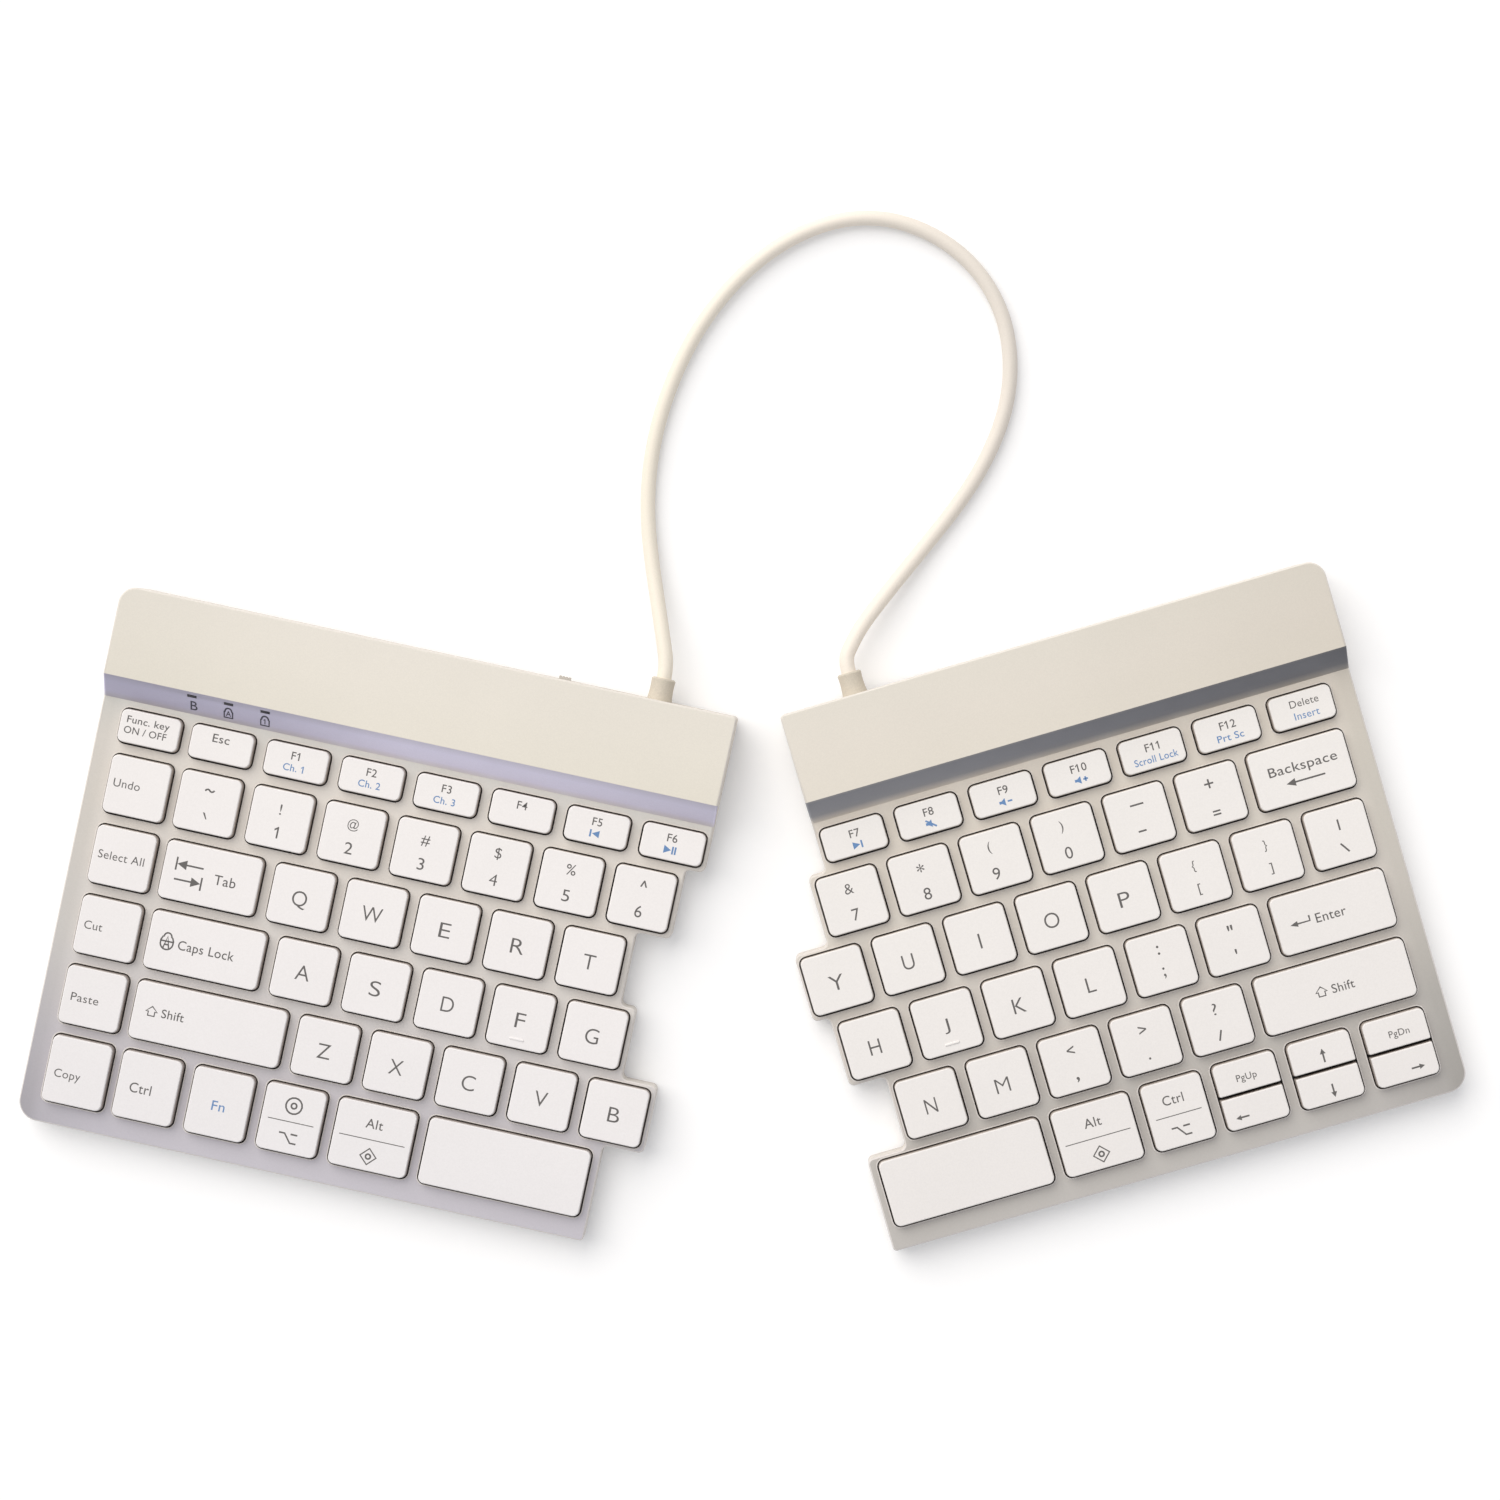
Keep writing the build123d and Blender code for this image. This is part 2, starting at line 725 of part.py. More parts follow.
def stabilisers(frame, cells):
    with BuildPart() as wires:
        for x, y, width, depth in cells:
            run_y = y - depth / 2 + key_gap + cap_wall + wire_wall_clearance + wire_radius
            reach = width / 2 - key_gap - cap_wall - wire_end_clearance
            high_z = cap_ceiling_z - scissor_clearance - wire_radius
            low_z = membrane_top_z + scissor_clearance + wire_radius
            points = [
                (x - reach, run_y + wire_arm_length, low_z),
                (x - reach, run_y, high_z),
                (x + reach, run_y, high_z),
                (x + reach, run_y + wire_arm_length, low_z),
            ]
            points = [frame.from_local_coords(point) for point in points]
            with BuildLine() as bend:
                FilletPolyline(*points, radius=wire_bend_radius)
            with BuildSketch(Plane(origin=bend.line @ 0, z_dir=bend.line % 0)):
                Circle(wire_radius)
            sweep(path=bend.line)
    return wires.part


# Gland: a short sleeve, waisted, with a neck through the wall and a flange inside
def gland(frame, x):
    neck_length = wall_thickness
    plane = Plane(
        origin=frame.from_local_coords((x, case_rear_y, gland_height)),
        x_dir=frame.y_dir,
        z_dir=frame.x_dir,
    )
    with BuildPart() as sleeve:
        with BuildSketch(plane):
            with BuildLine():
                Polyline(
                    (gland_length, 0),
                    (-neck_length - gland_flange_thickness, 0),
                    (-neck_length - gland_flange_thickness, gland_flange_radius),
                    (-neck_length, gland_flange_radius),
                    (-neck_length, gland_neck_radius),
                    (0, gland_neck_radius),
                    (0, gland_base_radius),
                )
                ThreePointArc(
                    (0, gland_base_radius),
                    (gland_length / 2, gland_waist_radius),
                    (gland_length - gland_corner, gland_tip_radius),
                )
                Polyline(
                    (gland_length - gland_corner, gland_tip_radius),
                    (gland_length, gland_tip_radius - gland_corner),
                    (gland_length, 0),
                )
            make_face()
        revolve(axis=Axis(plane.origin, plane.x_dir), revolution_arc=360)
    return sleeve.part


left_cells = [cell for cells in left_keys.values() for cell in cells]
right_cells = [cell for cells in right_keys.values() for cell in cells]
pair_cells = [cell for cells in front_half_keys.values() for cell in cells]
left_supports = [(cells, 0) for cells in left_keys.values()]
right_supports = [(cells, 0) for cells in right_keys.values()]
right_supports += [(cells, 1) for cells in rear_half_keys.values()]
right_supports += [(cells, -1) for cells in front_half_keys.values()]

# Posts under the boards: corners of the wide part, and along the strip
post_inset = 2 * post_radius
strip_y = board_front_y + board_strip_depth / 2
left_posts = [
    (board_left_x + post_inset, strip_y),
    ((board_left_x + board_wide_x) / 2, strip_y),
    (board_wide_x + post_inset, strip_y),
    (board_wide_x + post_inset, board_rear_y - post_inset),
    (board_right_x - post_inset, strip_y),
    (board_right_x - post_inset, board_rear_y - post_inset),
]
right_posts = [
    (x, y)
    for x in (link_board_left_x + post_inset, link_board_right_x - post_inset)
    for y in (strip_y, board_rear_y - post_inset)
]

publish(top_cover(left, -1, "left", left_cells, left_gland_x), "left_top_cover")
publish(top_cover(right, 1, "right", right_cells + pair_cells, right_gland_x), "right_top_cover")
publish(bottom_case(left, -1, "left", feet_places(-1), left_posts), "left_bottom_case")
publish(bottom_case(right, 1, "right", feet_places(1), right_posts), "right_bottom_case")
publish(feet(left, feet_places(-1)), "left_feet")
publish(feet(right, feet_places(1)), "right_feet")
publish(screws(left, boss_places["left"]), "left_screws")
publish(screws(right, boss_places["right"]), "right_screws")
publish(switch_plate(left, -1), "left_switch_plate")
publish(switch_plate(right, 1), "right_switch_plate")
publish(membrane(left, -1, left_tail_x), "left_membrane")
publish(membrane(right, 1, right_tail_x), "right_membrane")
publish(domes(left, left_supports), "left_rubber_domes")
publish(domes(right, right_supports), "right_rubber_domes")
publish(scissors(left, left_supports), "left_scissor_frames")
publish(scissors(right, right_supports), "right_scissor_frames")
left_wired = [left_keys[name][0] for name in left_keys if name in wired_keys]
right_wired = [right_keys[name][0] for name in right_keys if name in wired_keys]
publish(stabilisers(left, left_wired), "left_stabiliser_wires")
publish(stabilisers(right, right_wired), "right_stabiliser_wires")
publish(gland(left, left_gland_x), "left_cable_gland")
publish(gland(right, right_gland_x), "right_cable_gland")

for frame, keys, half in (
    (left, left_keys, 0),
    (right, right_keys, 0),
    (right, rear_half_keys, 1),
    (right, front_half_keys, -1),
):
    for name, cells in keys.items():
        publish(keycaps(frame, cells, half, home_bar_places.get(name)), name)

# Main board, left: a strip in front of the battery and a wide part beside it, with lamps, connector,
# chips and the power switch's housing
switch_housing_rear_y = wall_inner_y - knob_running_gap - knob_thickness / 2
board_middle_y = (board_front_y + board_rear_y) / 2
wide_middle_x = (board_wide_x + board_right_x) / 2
with BuildPart() as main_board:
    with BuildSketch(left.offset(plate_z)):
        with Locations((board_left_x, board_front_y)):
            Rectangle(board_right_x - board_left_x, board_strip_depth, align=(Align.MIN, Align.MIN))
        with Locations((board_wide_x, board_front_y)):
            Rectangle(
                board_right_x - board_wide_x,
                board_rear_y - board_front_y,
                align=(Align.MIN, Align.MIN),
            )
    extrude(amount=board_thickness)
    with BuildSketch(left.offset(board_top_z)):
        with Locations(*indicator_places):
            Rectangle(lamp_width, lamp_width)
    extrude(amount=lamp_height)
    with BuildSketch(left.offset(board_top_z)):
        with Locations((left_tail_x, board_front_y)):
            Rectangle(tail_width, connector_depth, align=(Align.CENTER, Align.MIN))
    extrude(amount=connector_height)
    with BuildSketch(left.offset(board_top_z)):
        with Locations((wide_middle_x, board_middle_y)):
            Rectangle(chip_size, chip_size)
        with Locations((wide_middle_x + 2 * chip_size, board_middle_y)):
            Rectangle(chip_size / 2, chip_size / 2)
    extrude(amount=chip_height)
    with BuildSketch(left.offset(board_top_z)):
        with Locations((switch_x, switch_housing_rear_y)):
            Rectangle(switch_housing_width, switch_housing_depth, align=(Align.CENTER, Align.MAX))
    extrude(amount=switch_housing_height)
publish(main_board.part, "left_main_board")

with BuildPart() as link_board:
    with BuildSketch(right.offset(plate_z)):
        with Locations((link_board_left_x, board_front_y)):
            Rectangle(
                link_board_right_x - link_board_left_x,
                board_rear_y - board_front_y,
                align=(Align.MIN, Align.MIN),
            )
    extrude(amount=board_thickness)
    with BuildSketch(right.offset(board_top_z)):
        with Locations((right_tail_x, board_front_y)):
            Rectangle(tail_width, connector_depth, align=(Align.CENTER, Align.MIN))
    extrude(amount=connector_height)
    with BuildSketch(right.offset(board_top_z)):
        with Locations(((link_board_left_x + link_board_right_x) / 2, board_middle_y)):
            Rectangle(chip_size, chip_size)
    extrude(amount=chip_height)
publish(link_board.part, "right_link_board")

with BuildPart() as battery:
    with BuildSketch(left.offset(floor_top_z)):
        with Locations((battery_left_x, battery_front_y)):
            Rectangle(
                battery_right_x - battery_left_x,
                battery_rear_y - battery_front_y,
                align=(Align.MIN, Align.MIN),
            )
    extrude(amount=battery_height)
    fillet(battery.edges().filter_by(Axis(left.origin, left.x_dir)), battery_corner_radius)
publish(battery.part, "battery")

port_z = board_top_z + port_thickness / 2
port_back_y = case_rear_y - port_recess - port_length + port_back_thickness
with BuildPart() as charging_port:
    with BuildSketch(rear_plane(left, port_x, case_rear_y - port_recess, port_z)):
        RectangleRounded(port_width, port_thickness, port_thickness / 2 - port_shell / 2)
    extrude(amount=-port_length)
    with BuildSketch(rear_plane(left, port_x, case_rear_y - port_recess, port_z)):
        RectangleRounded(
            port_width - 2 * port_shell,
            port_thickness - 2 * port_shell,
            port_thickness / 2 - 3 * port_shell / 2,
        )
    extrude(amount=-port_length + port_back_thickness, mode=Mode.SUBTRACT)
    with BuildSketch(rear_plane(left, port_x, port_back_y, port_z)):
        Rectangle(tongue_width, tongue_thickness)
    extrude(amount=tongue_length)
publish(charging_port.part, "charging_port")

# Knob at the off end of its slot, which is towards the left
knob_x = switch_x - switch_travel / 2
knob_z = board_top_z + knob_rise
knob_front_y = switch_housing_rear_y + knob_running_gap
knob_length = case_rear_y + knob_proud - knob_front_y
with BuildPart() as power_switch_knob:
    with BuildSketch(rear_plane(left, knob_x, knob_front_y, knob_z)):
        Rectangle(knob_width, knob_thickness)
    extrude(amount=knob_length)
    groove_pitch = knob_width / (knob_grooves + 1)
    with BuildSketch(rear_plane(left, knob_x, case_rear_y + knob_proud, knob_z)):
        with GridLocations(groove_pitch, 0, knob_grooves, 1):
            Rectangle(knob_groove_width, knob_thickness + overrun)
    extrude(amount=-knob_groove_depth, mode=Mode.SUBTRACT)
publish(power_switch_knob.part, "power_switch_knob")

with BuildPart() as light_guides:
    with BuildSketch(left.offset(board_top_z + lamp_height + lamp_gap)):
        with Locations(*indicator_places):
            Rectangle(guide_width, guide_depth)
    extrude(amount=bar_height)
    add(cover_form(left, -1, 0, 0, seam_z), mode=Mode.INTERSECT)
publish(light_guides.part, "indicator_light_guides")

# Link cable: straight runs joined by tangent arcs, square to the glands' end faces
left_mouth = left.from_local_coords((left_gland_x, case_rear_y + gland_length, gland_height))
right_mouth = right.from_local_coords((right_gland_x, case_rear_y + gland_length, gland_height))
route = [left_mouth, left_mouth + left.y_dir * cable_exit_run]
route += [Vector(*point) for point in cable_route]
route += [right_mouth + right.y_dir * cable_exit_run, right_mouth]
runs = [after - before for before, after in zip(route, route[1:])]
turns = [first.get_angle(second) for first, second in zip(runs, runs[1:])]
radii = [
    arc_share * min(first.length, second.length) / tan(radians(turn / 2))
    for first, second, turn in zip(runs, runs[1:], turns)
]
print("cable runs", [round(run.length, 1) for run in runs])
print("cable turns", [round(turn, 1) for turn in turns])
print("cable radii", [round(radius, 1) for radius in radii])
with BuildPart() as link_cable:
    with BuildLine() as centreline:
        FilletPolyline(*route, radius=radii)
    with BuildSketch(Plane(origin=centreline.line @ 0, z_dir=centreline.line % 0)):
        Circle(cable_radius)
    sweep(path=centreline.line)
cable_length = sum(edge.length for edge in centreline.edges())
print("cable length", cable_length, "volume", link_cable.part.volume)
print("section times length", pi * cable_radius**2 * cable_length)
publish(link_cable.part, "link_cable")
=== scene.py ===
import json
import math
import bmesh
import bpy
from mathutils import Euler, Matrix, Vector
from mathutils.bvhtree import BVHTree

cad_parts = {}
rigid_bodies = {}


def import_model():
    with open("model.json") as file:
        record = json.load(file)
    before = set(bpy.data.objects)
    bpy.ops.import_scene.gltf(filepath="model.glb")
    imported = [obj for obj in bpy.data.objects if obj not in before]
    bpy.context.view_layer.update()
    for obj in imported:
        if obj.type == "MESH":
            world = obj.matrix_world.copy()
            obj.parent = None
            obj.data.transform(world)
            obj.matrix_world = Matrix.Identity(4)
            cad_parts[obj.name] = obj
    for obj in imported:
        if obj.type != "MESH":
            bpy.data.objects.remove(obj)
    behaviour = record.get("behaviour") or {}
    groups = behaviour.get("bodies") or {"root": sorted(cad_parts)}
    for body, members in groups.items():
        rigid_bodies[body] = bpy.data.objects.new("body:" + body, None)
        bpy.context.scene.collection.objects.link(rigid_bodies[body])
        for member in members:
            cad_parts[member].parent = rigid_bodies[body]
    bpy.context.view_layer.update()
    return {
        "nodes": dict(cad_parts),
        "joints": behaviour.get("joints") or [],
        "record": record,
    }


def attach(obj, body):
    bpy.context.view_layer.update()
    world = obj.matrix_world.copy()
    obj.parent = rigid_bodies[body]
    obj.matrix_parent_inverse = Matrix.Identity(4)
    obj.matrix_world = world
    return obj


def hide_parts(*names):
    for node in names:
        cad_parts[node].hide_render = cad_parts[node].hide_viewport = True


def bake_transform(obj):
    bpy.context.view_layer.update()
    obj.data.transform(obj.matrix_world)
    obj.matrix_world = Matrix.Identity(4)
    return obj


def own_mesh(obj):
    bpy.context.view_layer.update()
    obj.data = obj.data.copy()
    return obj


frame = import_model()
print("frame loaded,", len(frame["nodes"]), "nodes")

# The joined keyboard is drawn in millimetres, and each half is turned about the pole
layout = {
    "millimetre": 0.001,
    "pole": (128.325, 53.5),
    "turn": {"left": -12.2, "right": 16.3},
    "deckTop": 8.2,
    "barTop": 14.5,
    "bandFront": 3.2,
    "bandRear": 9.0,
    "caseLeft": -32.3,
    "caseRight": 270.8,
    "caseFront": -108.0,
    "caseRear": 32.1,
    "splitX": 128.0,
    "sharpAngle": 38,
    "mergeDistance": 0.001,
}
sides = ("left", "right")
swing = next(joint for joint in frame["joints"] if joint["name"] == "swing")
keyNames = {
    side: [
        joint["child"] for joint in frame["joints"]
        if joint["name"].endswith("_press") and joint["parent"] == side + "_half"
    ]
    for side in sides
}


def halfPlace(side):
    # joined drawing in millimetres to that half's place in metres
    poleX, poleY = layout["pole"]
    return (
        Matrix.Translation((swing["pos_m"][0], swing["pos_m"][1], 0))
        @ Matrix.Rotation(math.radians(layout["turn"][side]), 4, "Z")
        @ Matrix.Scale(layout["millimetre"], 4)
        @ Matrix.Translation((-poleX, -poleY, 0))
    )


# Materials

grain = {
    "fineScale": 2.6,
    "fineDetail": 2.0,
    "fineHeight": 0.012,
    "broadScale": 0.05,
    "broadDetail": 4.0,
    "broadTint": 0.02,
    "speckTint": 0.04,
    "roughSpread": 0.06,
    "noiseMiddle": (0.3, 0.7),
    "bumpStrength": 0.6,
}


def linear(colour):
    # screen colour from 0 to 255, as the value that a shader socket takes
    shares = [value / 255 for value in colour]
    return [s / 12.92 if s <= 0.04045 else ((s + 0.055) / 1.055) ** 2.4 for s in shares] + [1.0]


def emptyTree(owner):
    # the cleared nodes of a material or a world
    owner.use_nodes = True
    owner.node_tree.nodes.clear()
    return owner.node_tree


def newNode(tree, kind, inputs, operation=None):
    # each input is the output of another node or a fixed value
    node = tree.nodes.new(kind)
    if operation:
        node.operation = operation
    for socket, value in inputs.items():
        if isinstance(value, bpy.types.NodeSocket):
            tree.links.new(value, node.inputs[socket])
        else:
            node.inputs[socket].default_value = value
    return node


def newMaterial(name, settings):
    material = bpy.data.materials.new(name)
    tree = emptyTree(material)
    shader = newNode(tree, "ShaderNodeBsdfPrincipled", settings)
    newNode(tree, "ShaderNodeOutputMaterial", {"Surface": shader.outputs["BSDF"]})
    return material, tree, shader


def objectCoordinates(tree, side):
    # Object coordinates turned back into the joined drawing, in millimetres
    back = halfPlace(side).inverted()
    mapping = newNode(tree, "ShaderNodeMapping", {
        "Vector": newNode(tree, "ShaderNodeTexCoord", {}).outputs["Object"],
        "Location": back.to_translation(), "Rotation": back.to_euler(), "Scale": back.to_scale(),
    })
    return mapping.outputs["Vector"]


def noise(tree, vector, scale, detail, stretch=None):
    if stretch:
        vector = newNode(tree, "ShaderNodeMapping", {"Vector": vector, "Scale": stretch}).outputs["Vector"]
    texture = newNode(tree, "ShaderNodeTexNoise", {"Vector": vector, "Scale": scale, "Detail": detail})
    return texture.outputs["Fac"]


def spread(tree, value, low, high):
    # the middle of a noise, stretched to run from low to high
    fromLow, fromHigh = grain["noiseMiddle"]
    remap = newNode(tree, "ShaderNodeMapRange", {
        "Value": value, "From Min": fromLow, "From Max": fromHigh, "To Min": low, "To Max": high,
    })
    return remap.outputs["Result"]


def vectorMath(tree, operation, vector, other, socket=1):
    node = newNode(tree, "ShaderNodeVectorMath", {0: vector, socket: other}, operation)
    return node.outputs["Value" if operation == "DOT_PRODUCT" else "Vector"]


def tinted(tree, colour, pattern, tint):
    # a noise makes the colour lighter and darker, by as much as tint each way
    return vectorMath(tree, "SCALE", colour, spread(tree, pattern, 1 - tint, 1 + tint), "Scale")


def along(tree, vector, start, end):
    # how far a point lies from start, 0, to end, 1
    line = Vector(end) - Vector(start)
    away = vectorMath(tree, "SUBTRACT", vector, Vector(start))
    return vectorMath(tree, "DOT_PRODUCT", away, line / line.length_squared)


def ramp(tree, value, stops):
    node = newNode(tree, "ShaderNodeValToRGB", {"Fac": value})
    elements = node.color_ramp.elements
    while len(elements) < len(stops):
        elements.new(0.5)
    for element, (place, colour) in zip(elements, stops):
        element.position = place
        element.color = linear(colour)
    return node.outputs["Color"]


def addRelief(tree, shader, pattern, strength, height):
    bump = newNode(tree, "ShaderNodeBump", {
        "Height": pattern, "Strength": strength, "Distance": height * layout["millimetre"],
    })
    tree.links.new(bump.outputs["Normal"], shader.inputs["Normal"])


def mouldedPlastic(name, side, start, end, stops, rough=0.5, specular=0.35, bump=1.0, shades=()):
    # matt moulded plastic: colour along a line, darker along others, faint mottling, fine grain; these ramps
    # carry painted light and shade
    material, tree, shader = newMaterial(name, {"Specular IOR Level": specular})
    vector = objectCoordinates(tree, side)
    fine = noise(tree, vector, grain["fineScale"], grain["fineDetail"])
    broad = noise(tree, vector, grain["broadScale"], grain["broadDetail"])
    colour = ramp(tree, along(tree, vector, start, end), stops)
    for shadeStart, shadeEnd, shadeStops in shades:
        tone = ramp(tree, along(tree, vector, shadeStart, shadeEnd), shadeStops)
        colour = vectorMath(tree, "MULTIPLY", colour, tone)
    colour = tinted(tree, colour, broad, grain["broadTint"] / 2)
    colour = tinted(tree, colour, fine, grain["speckTint"] / 2)
    tree.links.new(colour, shader.inputs["Base Color"])
    roughness = spread(tree, fine, rough - grain["roughSpread"], rough + grain["roughSpread"])
    tree.links.new(roughness, shader.inputs["Roughness"])
    addRelief(tree, shader, fine, grain["bumpStrength"] * bump, grain["fineHeight"])
    return material


def plainFinish(name, side, settings, colour, scale, tint, rough, relief, stretch=None):
    # one colour broken up by a noise that also moves the roughness and the surface
    material, tree, shader = newMaterial(name, settings)
    vector = objectCoordinates(tree, side)
    pattern = noise(tree, vector, scale, grain["broadDetail"], stretch)
    base = ramp(tree, pattern, [(0.0, colour), (1.0, colour)])
    tree.links.new(tinted(tree, base, pattern, tint), shader.inputs["Base Color"])
    tree.links.new(spread(tree, pattern, *rough), shader.inputs["Roughness"])
    addRelief(tree, shader, pattern, grain["bumpStrength"], relief)
    return material


# Tones of the plastic with painted light and shade in them, each a share of the way and a screen colour. Cap
# and deck run from the front edge to the rear edge, lighter to the rear as painted light; bar and band run
# over their own depth, and their painted shades from the outer end to the split. The right half's darker
# tones are painted shade
tones = {
    "left": {
        "cap": [(0.0, (236, 233, 233)), (0.5, (242, 238, 236)), (1.0, (244, 240, 236))],
        "deck": [
            (0.0, (198, 194, 201)), (0.16, (198, 194, 198)), (0.36, (214, 210, 206)), (0.6, (222, 216, 208)),
            (0.72, (226, 220, 212)), (0.8, (215, 213, 206)),
        ],
        "bar": [(0.0, (231, 225, 212)), (0.5, (233, 227, 215)), (1.0, (233, 227, 216))],
        # painted shade towards the outer end of the bar
        "barShade": [(0.0, (248, 248, 247)), (0.4, (255, 255, 255)), (1.0, (252, 252, 251))],
        # painted reflection and shade: lilac along the band, darker towards its rear edge and its ends
        "band": [
            (0.0, (230, 224, 228)), (0.25, (238, 233, 253)), (0.7, (233, 229, 250)), (1.0, (212, 208, 224)),
        ],
        "bandShade": [
            (0.0, (206, 206, 211)), (0.25, (223, 223, 226)), (0.5, (255, 255, 255)), (0.75, (252, 252, 252)),
            (1.0, (236, 236, 236)),
        ],
    },
    "right": {
        "cap": [(0.0, (235, 231, 228)), (0.5, (240, 236, 232)), (1.0, (241, 237, 232))],
        "deck": [
            (0.0, (192, 188, 183)), (0.18, (190, 186, 180)), (0.4, (212, 206, 198)), (0.6, (217, 211, 201)),
            (0.8, (222, 214, 202)),
        ],
        "bar": [(0.0, (228, 221, 208)), (0.5, (229, 222, 210)), (1.0, (228, 222, 210))],
        # painted shade towards the outer end of the bar
        "barShade": [(0.0, (242, 241, 240)), (0.5, (252, 252, 252)), (1.0, (255, 255, 255))],
        # painted reflection and shade: dark grey along the band, light at its front edge, darker at its outer
        # end
        "band": [
            (0.0, (222, 214, 204)), (0.12, (200, 195, 190)), (0.3, (158, 158, 162)), (0.5, (147, 148, 154)),
            (0.9, (138, 139, 145)), (1.0, (152, 151, 153)),
        ],
        "bandShade": [
            (0.0, (176, 177, 180)), (0.06, (204, 205, 207)), (0.25, (214, 215, 217)), (0.5, (233, 234, 236)),
            (0.8, (255, 255, 255)),
        ],
    },
    # painted shade on the deck's front outer corner and outer margin, each with its reach in millimetres
    "cornerShade": [(0.0, (224, 224, 224)), (0.15, (248, 248, 249)), (0.3, (255, 255, 255))],
    "cornerReach": 75,
    "marginShade": [(0.0, (239, 239, 238)), (0.3, (241, 241, 240)), (0.6, (255, 255, 255))],
    "marginReach": 10,
    # painted shade: the sides of the caps darken downwards into their wells, between two heights
    "capShade": [
        (0.0, (132, 124, 118)), (0.5, (184, 176, 169)), (0.85, (224, 218, 213)), (1.0, (255, 255, 255)),
    ],
    "capHeights": (7.4, 10.5),
    # the cable's jacket, from the left end of its loop to the right end, in metres: painted light in the
    # middle of the loop, painted shade on its right side
    "jacket": [(0.0, (243, 235, 219)), (0.5, (247, 238, 225)), (1.0, (231, 223, 212))],
    "jacketEnds": ((-0.025, 0.12, 0), (0.072, 0.12, 0)),
}
# finish: material, colour at the front, colour at the rear; the lip's pale tone is a painted highlight along
# the rims round the wells and the rounded edges
trims = {
    "lip": ("LipPlasticPaintedHighlight", (218, 213, 210), (228, 222, 213)),
    "side": ("SidePlastic", (222, 216, 208), (226, 219, 209)),
    "case": ("CasePlastic", (210, 204, 198), (214, 206, 196)),
    "knob": ("KnobPlastic", (190, 185, 178), (196, 190, 182)),
}
# finish: material, colour, noise scale, tint, roughness from and to, relief in millimetres, stretch
plainFinishes = {
    "inkGrey": ("GreyInk", (94, 91, 89), 5.0, 0.06, (0.5, 0.62), 0.004),
    "inkBlue": ("BlueInk", (100, 137, 184), 5.0, 0.06, (0.5, 0.62), 0.004),
    "inkDark": ("DarkInk", (58, 56, 70), 5.0, 0.06, (0.5, 0.62), 0.004),
    "plate": ("PlateSteel", (150, 150, 153), 1.2, 0.1, (0.3, 0.45), 0.01, (0.08, 1, 1)),
    # painted shade: the membrane is made dark so that the slits round the caps read as deep shade
    "membrane": ("MembraneFilmPaintedShade", (58, 57, 58), 0.8, 0.08, (0.3, 0.45), 0.01),
    "dome_rubber": ("DomeRubber", (150, 147, 140), 1.5, 0.06, (0.55, 0.7), 0.01),
    # painted shade: the scissor frames are mid-grey so that the slits round the caps stay dark
    "scissor": ("ScissorPlasticPaintedShade", (122, 120, 118), 1.8, 0.06, (0.4, 0.5), 0.01),
    "wire": ("WireSteel", (170, 170, 172), 3.0, 0.08, (0.25, 0.4), 0.005),
    "board": ("BoardLacquer", (32, 96, 58), 0.6, 0.25, (0.2, 0.35), 0.02),
    "battery": ("BatteryFoil", (178, 179, 184), 0.35, 0.1, (0.25, 0.45), 0.15),
    "port_metal": ("PortSteel", (168, 168, 172), 2.0, 0.08, (0.22, 0.35), 0.004, (0.2, 1, 1)),
    "light_guide": ("SmokedGuide", (44, 42, 52), 2.5, 0.08, (0.15, 0.25), 0.002),
    "foot_rubber": ("FootRubber", (88, 86, 84), 3.0, 0.12, (0.75, 0.9), 0.03),
    "screw": ("ScrewSteel", (96, 96, 99), 4.0, 0.1, (0.3, 0.45), 0.006),
    "gland": ("GlandRubber", (206, 197, 181), 2.5, 0.06, (0.6, 0.75), 0.02),
}
extras = {name: {"Metallic": 1.0} for name in ("plate", "wire", "battery", "port_metal", "screw")}
extras["board"] = {"Coat Weight": 0.5}


